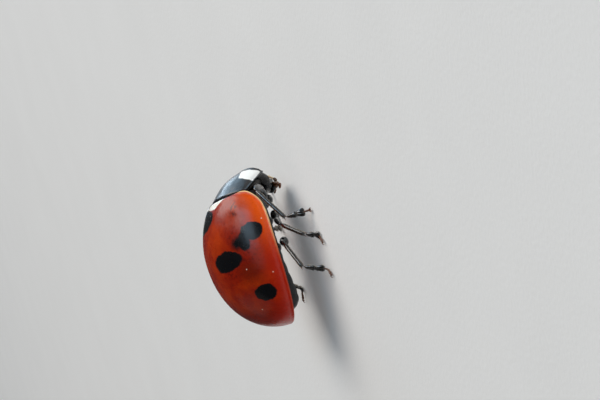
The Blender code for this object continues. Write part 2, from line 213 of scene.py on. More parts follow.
def plate_shape(rings, marks, outer, between):
    """A bent plate: each ring runs over its outer points, round an edge and back along its inner ones.

    Its first and last rings are shut by quads from the outer points to the inner ones, which start `between`
    points from the ring's end, and by the faces of the edges at both sides.
    """
    shape = Shape()
    shape.rings(rings, marks=marks, closed=False)
    count = rings.shape[1]
    for first in (0, (len(rings) - 1) * count):
        last = first + count - between
        shape.add_faces((first + k, first + k + 1, last - k - 1, last - k) for k in range(outer - 1))
        shape.add_faces([tuple(range(first + outer - 1, last - outer + 2))])
        if between > 1:
            shape.add_faces([(*range(last, first + count), first)])
    return shape


def new_piece(name, shape, materials, slot, replaces=(), sharp=60.0, weld=2e-4, mark_layer=None):
    """A mesh piece of the named materials, which rides on the model and takes the place of the CAD nodes."""
    mesh = bpy.data.meshes.new(name)
    points = (np.asarray(shape.points) + np.array(OFFSET)) * MM
    mesh.from_pydata([tuple(p) for p in points], [], shape.faces)
    mesh.polygons.foreach_set("material_index", shape.materials)
    for material in materials:
        mesh.materials.append(bpy.data.materials[material])
    if mark_layer:
        add_marks(mesh, mark_layer, shape.marks)
    editable = bmesh.new()
    editable.from_mesh(mesh)
    if weld:
        bmesh.ops.remove_doubles(editable, verts=editable.verts, dist=weld * MM)
        bmesh.ops.recalc_face_normals(editable, faces=editable.faces)
    editable.to_mesh(mesh)
    editable.free()
    mesh.shade_smooth()
    mesh.set_sharp_from_angle(angle=math.radians(sharp))
    piece = bpy.data.objects.new(name, mesh)
    bpy.context.scene.collection.objects.link(piece)
    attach(piece, "root")
    if replaces:
        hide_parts(*replaces)
    return piece


def add_marks(mesh, name, marks):
    """A UV map whose value at each corner is its point's pair of marks."""
    layer = mesh.uv_layers.new(name=name)
    corners = np.empty(len(mesh.loops), np.int32)
    mesh.loops.foreach_get("vertex_index", corners)
    layer.data.foreach_set("uv", np.asarray(marks, np.float32)[corners].ravel())


class Limb:
    """A limb's skin: a smooth centre line with an oval section and rounded ends.

    The profiles wide and deep are (share, half size) pairs, up is the way that deep points, square above 2
    makes the section boxier, and cap is the length over which each end is rounded.
    """

    def __init__(self, path, wide, deep=None, up=(0, 0, 1), square=2.0, cap=None):
        self.path = np.asarray(path, float)
        steps = np.linalg.norm(np.diff(self.path, axis=0), axis=1)
        self.marks = np.concatenate([[0.0], np.cumsum(steps)]) / steps.sum()
        self.length = steps.sum()
        self.wide, self.deep = wide, deep or wide
        self.up = np.asarray(up, float)
        self.square = square
        self.cap = cap or max(wide[0][1], wide[-1][1])

    def centre(self, share):
        return smooth_through(self.marks, self.path, share)

    def stretch(self, start, end, count):
        """Places along the centre line between two shares of it."""
        return self.centre(np.linspace(start, end, count))

    def axes(self, share):
        step = 0.01
        ahead = unit(self.centre(np.minimum(share + step, 1.0)) - self.centre(np.maximum(share - step, 0.0)))
        across = unit(np.cross(ahead, self.up))
        return ahead, across, np.cross(across, ahead)

    def end_share(self, share):
        """How far the rounded ends have closed: 1 along the limb, 0 at its very tip."""
        closed = np.ones_like(share)
        for near in (share, 1 - share):
            part = np.clip(near * self.length / self.cap, 0.0, 1.0)
            closed = closed * np.sqrt(np.maximum(1 - (1 - part) ** 2, 1e-4))
        return closed

    def point(self, share, turn):
        """Points of the skin, where turn goes round it from its side (0) over its top (90 degrees)."""
        _, across, upward = self.axes(share)
        closed = self.end_share(share)
        power = 2.0 / self.square
        place = self.centre(share)
        for profile, wave, way in ((self.wide, np.cos(turn), across), (self.deep, np.sin(turn), upward)):
            size = smooth_through(*zip(*profile), share) * closed
            place = place + (np.sign(wave) * np.abs(wave) ** power * size)[..., None] * way
        return place

    def rings(self, sides, middle, ends):
        """Rings close together over the rounded ends, with the given number of them in between."""
        cap = min(0.45, self.cap / self.length)
        start = cap * (1 - np.cos(np.linspace(0.02, 1.0, ends) * math.pi / 2))
        shares = np.concatenate([start, np.linspace(cap, 1 - cap, middle + 2)[1:-1], 1 - start[::-1]])
        share, turn = np.meshgrid(shares, np.linspace(0, TURN, sides, endpoint=False), indexing="ij")
        rings = self.point(share, turn)
        rings[..., 2] = np.maximum(rings[..., 2], FLOOR_CLEARANCE)
        return rings


def ball(centre, half, turn, rows, columns, reshape=None):
    """Rings of an ellipsoid, which may be reshaped before it is turned and placed."""
    polar = np.linspace(0.03, math.pi - 0.03, rows)
    p, a = np.meshgrid(polar, np.linspace(0, TURN, columns, endpoint=False), indexing="ij")
    local = np.stack([np.sin(p) * np.cos(a), np.sin(p) * np.sin(a), np.cos(p)], axis=-1)
    local = local * np.asarray(half, float)
    if reshape is not None:
        local = reshape(local)
    return local @ np.array(turn).T + np.asarray(centre, float)


# ---------------- bristles


class Bristles:
    """Many short hairs, each a closed three-sided cone, which become one mesh."""

    def __init__(self, seed):
        self.shape = Shape()
        self.patches = []
        self.dice = random.Random(seed)

    def add(self, root, direction, length, radius, patch):
        """One hair, whose patch of the coat's own unwrap is about 0.003 across at its root's place."""
        direction = unit(direction)
        side = unit(np.cross(direction, (0.31, 0.17, 0.93)))
        other = np.cross(direction, side)
        thirds = (0, TURN / 3, 2 * TURN / 3)
        base = [root + radius * (math.cos(t) * side + math.sin(t) * other) for t in thirds]
        middle = [root + length * 0.55 * direction + 0.62 * (p - root) for p in base]
        tip = root + direction * length + np.array((0.0, 0.0, -0.06 * length))
        faces = [(2, 1, 0)]
        for i in range(3):
            j = (i + 1) % 3
            faces.extend([(i, j, 3 + j, 3 + i), (3 + i, 3 + j, 6)])
        points = np.array([*base, *middle, tip])
        points[:, 2] = np.maximum(points[:, 2], FLOOR_CLEARANCE)
        self.shape.add(points, faces)
        spread = [(patch[0] + 0.0015 * u, patch[1] + 0.0015 * v) for u, v in ((-1, -1), (1, -1), (0, 1))]
        self.patches.extend([*spread, *spread, patch])

    def cover(self, limb, count, length, radius, shares, turns, lean, area):
        """Hairs over a stretch of a limb, leaning along it. area is (u, v, width, height) of its unwrap."""
        for _ in range(count):
            share = np.array([self.dice.uniform(*shares)])
            turn = self.dice.uniform(*turns)
            root = limb.point(share, np.array([turn]))[0]
            normal = unit(root - limb.centre(share)[0])
            way = normal + lean * limb.axes(share)[0][0]
            size = length * self.dice.uniform(0.7, 1.2)
            scatter = np.array([self.dice.uniform(-0.15, 0.15) for _ in range(3)])
            patch = (area[0] + area[2] * share[0], area[1] + area[3] * (turn % TURN) / TURN)
            self.add(root - 0.3 * radius * normal, way + scatter, size, radius, patch)

    def piece(self, name, material):
        made = new_piece(name, self.shape, [material], "leg", sharp=180.0, weld=0.0)
        add_marks(made.data, "OFBake", np.clip(np.asarray(self.patches, np.float32), 0.002, 0.998))


# Turns round a limb, from its side over its top
AROUND = (0, TURN)
OVER = (0.1, math.pi - 0.1)
UNDER = (math.pi + 0.3, TURN - 0.3)
# What grows where: coat, count, length, radius, shares of the limb's length, turns round it, lean along it
HAIRS = {
    "feeler": [("pale", 10, 0.045, 0.0035, (0.1, 0.95), AROUND, 1.0)],
    "feeler_club": [("pale", 26, 0.045, 0.0035, (0.1, 0.95), AROUND, 1.0)],
    "palp": [("pale", 16, 0.05, 0.0035, (0.1, 0.95), AROUND, 1.0)],
    "mouth": [("pale", 22, 0.05, 0.0035, (0.2, 1.0), AROUND, 1.2)],
    "thigh": [("dark", 110, 0.050, 0.0040, (0.08, 0.97), AROUND, 1.8)],
    "shin": [
        ("dark", 190, 0.062, 0.0042, (0.10, 1.0), AROUND, 1.5),
        ("pale", 80, 0.070, 0.0042, (0.45, 1.0), (math.pi + 0.4, TURN - 0.4), 1.3),
        ("pale", 130, 0.045, 0.0036, (0.06, 0.98), (-0.25, 0.25), 1.9),
        ("pale", 130, 0.045, 0.0036, (0.06, 0.98), (math.pi - 0.25, math.pi + 0.25), 1.9),
    ],
    "pad": [
        ("dark", 26, 0.05, 0.0040, (0.1, 0.95), (0.2, math.pi - 0.2), 1.6),
        ("pale", 60, 0.055, 0.0045, (0.15, 1.0), UNDER, 0.9),
    ],
    "foot": [
        ("dark", 46, 0.06, 0.0042, (0.1, 0.95), OVER, 1.5),
        ("pale", 70, 0.060, 0.0045, (0.25, 1.0), UNDER, 0.9),
    ],
    "claw_joint": [("dark", 14, 0.05, 0.0038, (0.2, 0.9), (0, math.pi), 1.2)],
}
COATS = {"dark": Bristles(SEED), "pale": Bristles(SEED + 1)}


def grow(kind, limb, area):
    for coat, *rule in HAIRS[kind]:
        COATS[coat].cover(limb, *rule, area)

# ---------------- materials


class Finish:
    """A node material, with short calls for the nodes that it is made of."""

    def __init__(self, name, **sockets):
        self.material = bpy.data.materials.new(name)
        self.material.use_nodes = True
        self.tree = self.material.node_tree
        self.shader = self.tree.nodes["Principled BSDF"]
        self.set(**sockets)

    def put(self, value, socket):
        if isinstance(value, bpy.types.NodeSocket):
            self.tree.links.new(value, socket)
        elif isinstance(value, tuple) and len(value) == 3 and socket.type == "RGBA":
            socket.default_value = (*value, 1.0)
        else:
            socket.default_value = value

    def set(self, **sockets):
        for socket, value in sockets.items():
            self.put(value, self.shader.inputs[socket.replace("_", " ")])

    def node(self, kind, inputs=(), **settings):
        """A node whose first inputs, in their order, take the given values."""
        made = self.tree.nodes.new("ShaderNode" + kind)
        for key, value in settings.items():
            setattr(made, key, value)
        for value, socket in zip(inputs, made.inputs):
            self.put(value, socket)
        return made

    def places(self, centre=(0.0, 0.0, 0.0), turn=0.0):
        """The surface's place in millimetres in the model's frame, or from a centre, turned back about Y."""
        shift = Matrix.Rotation(-turn, 3, "Y") @ (OFFSET + Vector(centre))
        here = self.node("TexCoord").outputs["Object"]
        return self.node("Mapping", (here, -shift, (0.0, -turn, 0.0), (1 / MM,) * 3)).outputs["Vector"]

    def maths(self, operation, *values):
        return self.node("Math", values, operation=operation).outputs["Value"]

    def vector_maths(self, operation, *values):
        made = self.node("VectorMath", values, operation=operation)
        return made.outputs["Value" if operation == "LENGTH" else "Vector"]

    def split(self, vector):
        return tuple(self.node("SeparateXYZ", (vector,)).outputs)

    def mirrored(self, place):
        """The place with the left side laid on the right one."""
        x, y, z = self.split(place)
        return self.node("CombineXYZ", (x, self.maths("ABSOLUTE", y), z)).outputs["Vector"]

    def noise(self, vector, scale, detail=2.0, roughness=0.5, output="Fac"):
        made = self.node("TexNoise")
        values = (vector, scale, detail, roughness)
        for value, socket in zip(values, ("Vector", "Scale", "Detail", "Roughness")):
            self.put(value, made.inputs[socket])
        return made.outputs[output]

    def cells(self, vector, scale, output="Distance"):
        made = self.node("TexVoronoi")
        self.put(vector, made.inputs["Vector"])
        made.inputs["Scale"].default_value = scale
        return made.outputs[output]

    def step(self, value, low, high):
        """0 below low, 1 above high, smooth in between. With low above high it falls instead."""
        made = self.node("MapRange", interpolation_type="SMOOTHSTEP")
        self.put(value, made.inputs["Value"])
        ends = (low, high, 0.0, 1.0) if low < high else (high, low, 1.0, 0.0)
        for socket, number in zip(("From Min", "From Max", "To Min", "To Max"), ends):
            made.inputs[socket].default_value = number
        return made.outputs["Result"]

    def scale(self, value, low, high):
        """A 0 to 1 value spread over another range."""
        return self.maths("MULTIPLY_ADD", value, high - low, low)

    def paint(self, colour, *coats):
        """A colour under (cover, strength, colour) coats of paint."""
        for cover, strength, tint in coats:
            if strength != 1:
                cover = self.maths("MULTIPLY", cover, strength)
            made = self.node("Mix", data_type="RGBA")
            self.put(cover, made.inputs["Factor"])
            for value, socket in zip((colour, tint), [s for s in made.inputs if s.type == "RGBA"]):
                self.put(value, socket)
            colour = next(s for s in made.outputs if s.type == "RGBA")
        return colour

    def blob(self, vector, centre, radii, softness):
        """1 inside an ellipsoid, 0 outside it, with a soft edge."""
        from_centre = self.vector_maths("SUBTRACT", vector, centre)
        scaled = self.vector_maths("MULTIPLY", from_centre, tuple(1 / r for r in radii))
        return self.step(self.vector_maths("LENGTH", scaled), 1 + softness, 1 - softness)

    def inside(self, x, y, corners, softness):
        """1 inside a convex outline whose corners run anticlockwise, 0 outside it."""
        found = 1.0
        for (x0, y0), (x1, y1) in zip(corners, (*corners[1:], corners[0])):
            length = math.hypot(x1 - x0, y1 - y0)
            a, b = (y0 - y1) / length, (x1 - x0) / length
            across = self.maths("MULTIPLY_ADD", x, a, self.maths("MULTIPLY_ADD", y, b, -a * x0 - b * y0))
            found = self.maths("MULTIPLY", found, self.step(across, -softness, softness))
        return found

    def most(self, values):
        found = values[0]
        for value in values[1:]:
            found = self.maths("MAXIMUM", found, value)
        return found

    def pitted(self, cells):
        """A height that sinks into a round pit at the middle of each cell."""
        return self.step(cells, *PIT_SLOPE)

    def relief(self, *layers):
        """A normal from (height, depth) layers, where a height of 1 stands that many millimetres proud."""
        normal = None
        for height, depth in layers:
            made = self.node("Bump")
            made.inputs["Strength"].default_value = 1.0
            made.inputs["Distance"].default_value = depth * MM
            self.put(height, made.inputs["Height"])
            if normal is not None:
                self.put(normal, made.inputs["Normal"])
            normal = made.outputs["Normal"]
        return normal


PIT_SLOPE = (0.06, 0.40)  # distances from a pit's middle between which its wall rises, in cells
GRAIN = (12.0, 3.0, 0.6)
SHELL_CLOUD = (2.2, 4.0, 0.6)
SHELL_WAVES = (((2.4, 3.0, 0.55), 0.030), ((42.0, 2.0), 0.0010))
SHELL_SMEAR = (4.0, 4.0, 0.6)
SHELL_SHEEN = (0.55, 0.35, 0.16)
FEELER_LOOK = ((8.0, 3.0, 0.6), (0.34, 0.52), (34.0, 0.0025), (), None, (0.45, 0.15, 0.25))
HAIR_LOOK = ((20.0, 2.0), (0.35, 0.55), None, (), None, (0.5, 0.0, 0.03))
# What a finish is made of: its dark and its light tone, which mix in soft clouds; the cloud; the two ends of
# its roughness; its pits as (scale, depth); its waves, each with its depth; the smear, which moves the
# roughness between its ends where the cloud doesn't; and its specular level, clear coat and coat roughness.
# A cloud, wave or smear is a noise's scale, detail and roughness.
LOOKS = {
    "pronotum_black": (
        (0.003, 0.0035, 0.005), (0.0072, 0.0084, 0.012), SHELL_CLOUD, (0.21, 0.39), (21.0, 0.0012),
        SHELL_WAVES, SHELL_SMEAR, SHELL_SHEEN,
    ),
    "head_black": (
        (0.003, 0.003, 0.004), (0.0072, 0.0072, 0.0096), SHELL_CLOUD, (0.17, 0.35), (17.0, 0.0025),
        SHELL_WAVES, SHELL_SMEAR, SHELL_SHEEN,
    ),
    "scutellum_black": (
        (0.004, 0.004, 0.005), (0.0096, 0.0096, 0.012), SHELL_CLOUD, (0.26, 0.44), (18.0, 0.0030),
        SHELL_WAVES, SHELL_SMEAR, SHELL_SHEEN,
    ),
    "belly_black": (
        (0.004, 0.0035, 0.0035), (0.018, 0.014, 0.012), (2.5, 4.0, 0.6), (0.36, 0.60), (14.0, 0.010),
        (((4.0, 3.0), 0.030),), None, (0.4, 0.1, 0.3),
    ),
    "leg_black": (
        (0.003, 0.003, 0.003), (0.012, 0.008, 0.006), (3.0, 4.0, 0.6), (0.12, 0.26), (26.0, 0.0020),
        (((5.0, 3.0), 0.012),), (9.0, 3.0), (0.7, 0.9, 0.09),
    ),
    "eye_dark": (
        (0.004, 0.004, 0.006), (0.020, 0.017, 0.018), (6.0, 3.0, 0.6), (0.08, 0.20), None,
        (((40.0, 1.0), 0.001),), None, (0.6, 0.6, 0.10),
    ),
    "claw_brown": (
        (0.060, 0.020, 0.008), (0.200, 0.070, 0.022), GRAIN, (0.24, 0.40), None,
        ((GRAIN, 0.004),), None, (0.5, 0.3, 0.18),
    ),
    "feeler_brown": ((0.72, 0.48, 0.24), (0.95, 0.78, 0.52), *FEELER_LOOK),
    "feeler_club": ((0.04, 0.018, 0.010), (0.12, 0.05, 0.02), *FEELER_LOOK),
    "palp_brown": ((0.10, 0.028, 0.012), (0.30, 0.10, 0.035), *FEELER_LOOK),
    "hair_dark": ((0.012, 0.008, 0.006), (0.055, 0.034, 0.022), *HAIR_LOOK),
    "hair_pale": ((0.52, 0.42, 0.30), (0.80, 0.72, 0.58), *HAIR_LOOK),
}


def cloudy(name, origin=()):
    """A finish from the table: (finish, place, colour). The clear coat of a smeared one shares its relief."""
    dark, light, cloud, roughness, pits, waves, smear, (specular, coat, coat_roughness) = LOOKS[name]
    finish = Finish(name, Specular_IOR_Level=specular, Coat_Weight=coat, Coat_Roughness=coat_roughness)
    here = finish.places(*origin)
    drift = finish.noise(here, *cloud)
    colour = finish.paint(dark, (drift, 1, light))
    rough = finish.scale(finish.noise(here, *smear) if smear else drift, *roughness)
    finish.set(Base_Color=colour, Roughness=rough)
    layers = [(finish.pitted(finish.cells(here, pits[0])), pits[1])] if pits else []
    layers += [(finish.noise(here, *wave), depth) for wave, depth in waves]
    if layers:
        normal = finish.relief(*layers)
        finish.set(Normal=normal)
        if smear:
            finish.set(Coat_Normal=normal)
    return finish, here, colour


RED = (0.27, 0.011, 0.0005)
DEEP_RED = (0.12, 0.004, 0.0004)
BRIGHT_RED = (0.58, 0.016, 0.0006)
ORANGE = (1.00, 0.115, 0.0020)
# colour of the painted highlight along the rim
RIM_HIGHLIGHT = (1.00, 0.64, 0.29)
SPOT_BLACK = (0.003, 0.003, 0.004)
CREAM = (1.00, 0.95, 0.84)
SCUFF_BROWN = (0.045, 0.010, 0.012)
DUST = (1.0, 0.84, 0.70)

# Spots of a wing case: centre with |y|, half size along the body, half size across it, edge softness
SPOTS = (
    ((1.51, 0.00, 3.72), 0.48, 1.05, 0.06),
    ((0.46, 2.45, 2.42), 0.37, 0.46, 0.07),
    ((0.15, 2.29, 2.84), 0.38, 0.26, 0.12),
    ((0.17, 2.14, 3.08), 0.26, 0.28, 0.55),
    ((-0.40, 1.59, 3.59), 0.41, 0.76, 0.08),
    ((-2.03, 1.95, 2.54), 0.35, 0.47, 0.07),
)
SPOT_WARP = 0.24  # width of the band in which noise shifts a spot's edge
SHADE = ((-1.05, 2.14, 2.96), (0.42, 0.42, 0.46), 0.80)  # a darker patch behind the middle spot
SCUFF = ((1.50, -1.98, 2.78), (0.36, 0.22, 0.22), 0.40)  # on the right shoulder
SPECKS = 2.4  # places for a speck of dust in each millimetre
# Lines x = slope * |y| + start, which bound the cream mark at a wing case's base
CREAM_SIDES = ((-0.10, 1.94), (0.62, 1.21))


def wing_case_finish():
    """Red, with painted light and shade: lighter and oranger low on its side, most at the front, a painted
    highlight along its rim, a little lighter towards the tail, and painted shade in its pits and behind the
    middle spot; with the black spots, the cream mark, a shoulder scuff, pits and dust.
    """
    finish = Finish("wing_case_red", Specular_IOR_Level=0.16, Coat_Weight=0.40, Coat_Roughness=0.22)
    here = finish.places()
    x, y, z = finish.split(here)
    mirrored = finish.mirrored(here)
    warp = finish.vector_maths("SUBTRACT", finish.noise(here, 2.6, 4.0, 0.6, "Color"), (0.5, 0.5, 0.5))
    warp = finish.vector_maths("MULTIPLY", warp, (SPOT_WARP,) * 3)
    place = finish.vector_maths("ADD", mirrored, warp)
    spots = [finish.blob(place, centre, (along, wide, wide), soft) for centre, along, wide, soft in SPOTS]
    cloud = finish.noise(here, 0.9, 4.0, 0.55)
    mottle = finish.maths("ADD", finish.noise(here, 7.0, 3.0, 0.6), cloud)
    # Painted light: the lower side is painted lighter, and oranger towards the front, as if lit from the
    # front.
    front = finish.step(x, -1.2, 1.4)
    painted_lit_side = finish.paint(BRIGHT_RED, (front, 1, ORANGE))
    to_edge = finish.split(finish.node("UVMap", uv_map="edge").outputs["UV"])[0]
    # Painted highlight: a pale line along the rim of the lower edge, brightest at the front and faint behind.
    painted_rim_highlight = finish.maths("MULTIPLY", finish.step(to_edge, 0.060, 0.020), finish.scale(front, 0.05, 1.0))
    pits = finish.cells(here, 17.0)
    across = finish.maths("ABSOLUTE", y)
    sides = [finish.maths("MULTIPLY_ADD", across, slope, start) for slope, start in CREAM_SIDES]
    ripple = finish.scale(finish.noise(here, 6.0, 2.0), -0.03, 0.03)
    inward = finish.maths("ADD", finish.maths("SUBTRACT", x, finish.most(sides)), ripple)
    streak = finish.noise(finish.vector_maths("MULTIPLY", here, (5.0, 16.0, 5.0)), 1.0, 3.0, 0.7)
    scuff = finish.maths("MULTIPLY", finish.blob(here, *SCUFF), finish.step(streak, 0.49, 0.57))
    chosen = finish.step(finish.split(finish.cells(here, SPECKS, "Color"))[0], 0.50, 0.52)
    speck = finish.maths("MULTIPLY", finish.step(finish.cells(here, SPECKS), 0.072, 0.044), chosen)
    colour = finish.paint(
        RED,
        (finish.step(cloud, 0.40, 0.70), 0.24, ORANGE),
        (finish.step(mottle, 0.92, 0.62), 1, DEEP_RED),
        # painted light: a little lighter towards the tail, which the lamps light less
        (finish.step(x, 0.4, -2.8), 0.16, BRIGHT_RED),
        # painted light on the lower side, oranger towards the front
        (finish.step(z, 2.75, 1.70), 0.92, painted_lit_side),
        (finish.blob(mirrored, *SHADE), 0.75, DEEP_RED),
        # painted highlight along the rim
        (painted_rim_highlight, 1, RIM_HIGHLIGHT),
        # painted shade: darker towards the middle of each pit
        (finish.step(pits, 0.26, 0.08), 0.30, DEEP_RED),
        (finish.step(inward, -0.020, 0.025), 1, CREAM),
        (finish.most(spots), 1, SPOT_BLACK),
        (scuff, 0.85, SCUFF_BROWN),
        (speck, 0.9, DUST),
    )
    normal = finish.relief(
        (finish.pitted(pits), 0.0013),
        (finish.noise(here, 1.7, 2.0, 0.5), 0.014),
        (finish.noise(here, 30.0, 2.0), 0.0007),
    )
    finish.set(
        Base_Color=colour,
        Roughness=finish.scale(finish.noise(here, 2.2, 4.0, 0.6), 0.20, 0.36),
        Normal=normal,
        Coat_Normal=normal,
        Subsurface_Weight=0.08,
        Subsurface_Radius=(1.0, 0.25, 0.08),
        Subsurface_Scale=0.18 * MM,
    )


# The pale patch of the pronotum's front corner: corners as (share of its length, share of the arch's angle)
PALE_PATCH = ((0.543, 0.583), (0.850, 0.403), (0.905, 0.930), (0.467, 0.976))


def pronotum_finish():
    finish, here, colour = cloudy("pronotum_black")
    ripple = finish.scale(finish.noise(here, 5.0, 3.0), -0.030, 0.030)
    plate = finish.split(finish.node("UVMap", uv_map="plate").outputs["UV"])
    along, arch = (finish.maths("ADD", share, ripple) for share in plate[:2])
    pale = finish.paint((0.96, 0.95, 0.90), (finish.noise(here, 6.0, 3.0, 0.6), 1, (1.0, 1.0, 0.98)))
    finish.set(Base_Color=finish.paint(colour, (finish.inside(along, arch, PALE_PATCH, 0.010), 1, pale)))


def head_finish():
    """Black, with a pale spot beside each eye."""
    finish, here, colour = cloudy("head_black", (HEAD_CENTRE, HEAD_BOW))
    spot = finish.blob(finish.mirrored(here), (0.30, 0.42, 0.14), (0.20, 0.13, 0.12), 0.12)
    finish.set(Base_Color=finish.paint(colour, (spot, 1, (0.84, 0.78, 0.72))))


def belly_finish():
    """Pitted black, with the white flap over the base of each middle leg."""
    finish, here, colour = cloudy("belly_black")
    flap = finish.blob(finish.mirrored(here), (1.18, 1.62, 1.20), (0.24, 0.18, 0.13), 0.10)
    finish.set(Base_Color=finish.paint(colour, (flap, 1, (0.74, 0.68, 0.56))))


def make_finishes():
    wing_case_finish()
    pronotum_finish()
    head_finish()
    belly_finish()
    for name in ("scutellum_black", "leg_black", "eye_dark", "claw_brown", "hair_dark", "hair_pale"):
        cloudy(name)
    for name in ("feeler_brown", "feeler_club", "palp_brown"):
        finish, _, _ = cloudy(name)
        finish.set(Subsurface_Weight=0.05, Subsurface_Radius=(1.0, 0.4, 0.15), Subsurface_Scale=0.06 * MM)


# ---------------- wing cases

SHOULDER_ROUNDING = 0.85
SHOULDER_POWER, SHOULDER_FADE = 9, 0.58
BASE_BULGE = (0.045, 0.83, 0.10)  # how far the base edge bulges forward, at which share of the arch, how wide
NOTCH_WIDTH = 0.30
RIM_FADE = 0.20  # added to the distance from the base edge, so that the rim fades out along it
CASE_COLUMNS = 110
NEAR_BASE = (0.0012, 0.003, 0.006, 0.018)  # more columns, as shares of the length
CASE_ROWS = 76
NEAR_SUTURE = (0.004, 0.010)  # more rows, as angles
NEAR_RIM = (0.003, 0.010, 0.022, 0.036, 0.070, 0.085)  # more rows, in millimetres from the rim
CASE_GAP = 0.007  # from the suture's middle to each wing case
CASE_SHELL = 0.13
SHELL_SHARP = 38.0  # in degrees: an edge of a shell that bends more than this is drawn sharp
BASE_FLANGE = (0.34, 0.12)  # how deep the base edge is turned down, and over what length
RIM = 0.028  # radius of the lower edge's bead
RIM_TURNS = (35, 70, 100, 130)  # degrees round the bead
EPIPLEURON_WIDTH = 0.44  # of the band turned under the lower edge
EPIPLEURON_SHARES = (0.3, 0.65, 1.0)
UNDER_MARKS = (0.0, 0.0, 0.02, 0.04, 0.2, 0.2, 0.2)  # distances from the rim of the bead and the band
SHOULDER_ANGLES = (0.75, 1.25)  # between these, the lower edge's bead fades in along the base edge
# Ridges and grooves as (place, width, height), and a swelling on the shoulder
RIM_RIDGES = ((0.02, 0.030, 0.018), (0.11, 0.06, -0.016))
BASE_RIDGES = ((0.0, 0.035, -0.055), (0.10, 0.05, 0.010))
SEAM_GROOVE = ((0.0, 0.035, -0.020),)
CALLUS_PLACE = (1.55, 1.02)  # x and angle of the shoulder's swelling
CALLUS_RADIUS = 2.2  # turns its angle into millimetres
SMOOTH_TAIL = 0.06  # share of the full width under which the skin has no relief
CALLUS_RIDGE = ((0.0, 0.32, 0.045),)


def dome_share(x, front_reach, inset=0.0):
    reach = np.where(x > TOP_X, front_reach, TOP_X - APEX_X - inset)
    power = np.where(x > TOP_X, DOME_POWER, TAIL_POWER)
    along = np.minimum(1.0, np.abs(x - TOP_X) / reach)
    return (1.0 - along**power) ** (1.0 / power)


def margin_height(x):
    arch = ARCH_RISE * (1.0 - ((x - ARCH_X) / ARCH_REACH) ** 2)
    return MARGIN_Z + arch + SHOULDER_RISE * np.maximum(0.0, x - SHOULDER_X) ** 2


def dome_point(x, angle, inset=0.0):
    half_width = (HALF_WIDTH - inset) * dome_share(x, PLAN_REACH, inset)
    rise = (DOME_RISE - inset) * dome_share(x, PROFILE_REACH, inset)
    height = margin_height(x) + rise * np.cos(angle)
    return np.stack([x + 0 * angle, half_width * np.sin(angle), height], axis=-1)


def base_edge(angle):
    """Front edge of a wing case: notched beside the scutellum and rounded at the shoulder."""
    share = angle / (math.pi / 2)
    from_suture = HALF_WIDTH * dome_share(BASE_X, PLAN_REACH) * np.sin(angle)
    notch = SCUTELLUM_LENGTH * np.clip(1.0 - from_suture / NOTCH_WIDTH, 0.0, 1.0)
    drop = 1.0 - np.maximum(0.0, 1.0 - share**SHOULDER_POWER) ** SHOULDER_FADE
    bulge, place, width = BASE_BULGE
    return BASE_X - notch - SHOULDER_ROUNDING * drop + bulge * hump(share - place, width)


def case_relief(x, angle, to_rim, to_base):
    """How far the wing case's skin stands off the plain dome, in millimetres."""
    small = dome_share(x, PLAN_REACH)
    to_callus = np.hypot(x - CALLUS_PLACE[0], (angle - CALLUS_PLACE[1]) * CALLUS_RADIUS)
    lip = ridges(to_base, BASE_RIDGES) * (1 - smooth_step(*SHOULDER_ANGLES, angle))
    seam = ridges(HALF_WIDTH * small * np.sin(angle), SEAM_GROOVE)
    relief = ridges(to_rim, RIM_RIDGES) * small + ridges(to_callus, CALLUS_RIDGE) + seam + lip
    return np.where(small > SMOOTH_TAIL, relief, 0.0)


def raised(points, middle, relief):
    """A grid of points moved by a relief along their normals, which face away from a middle point."""
    normals = unit(np.cross(np.gradient(points, axis=0), np.gradient(points, axis=1)))
    away = np.sum(normals * (points - middle), axis=-1, keepdims=True)
    return points + np.where(away < 0, -normals, normals) * relief[..., None]


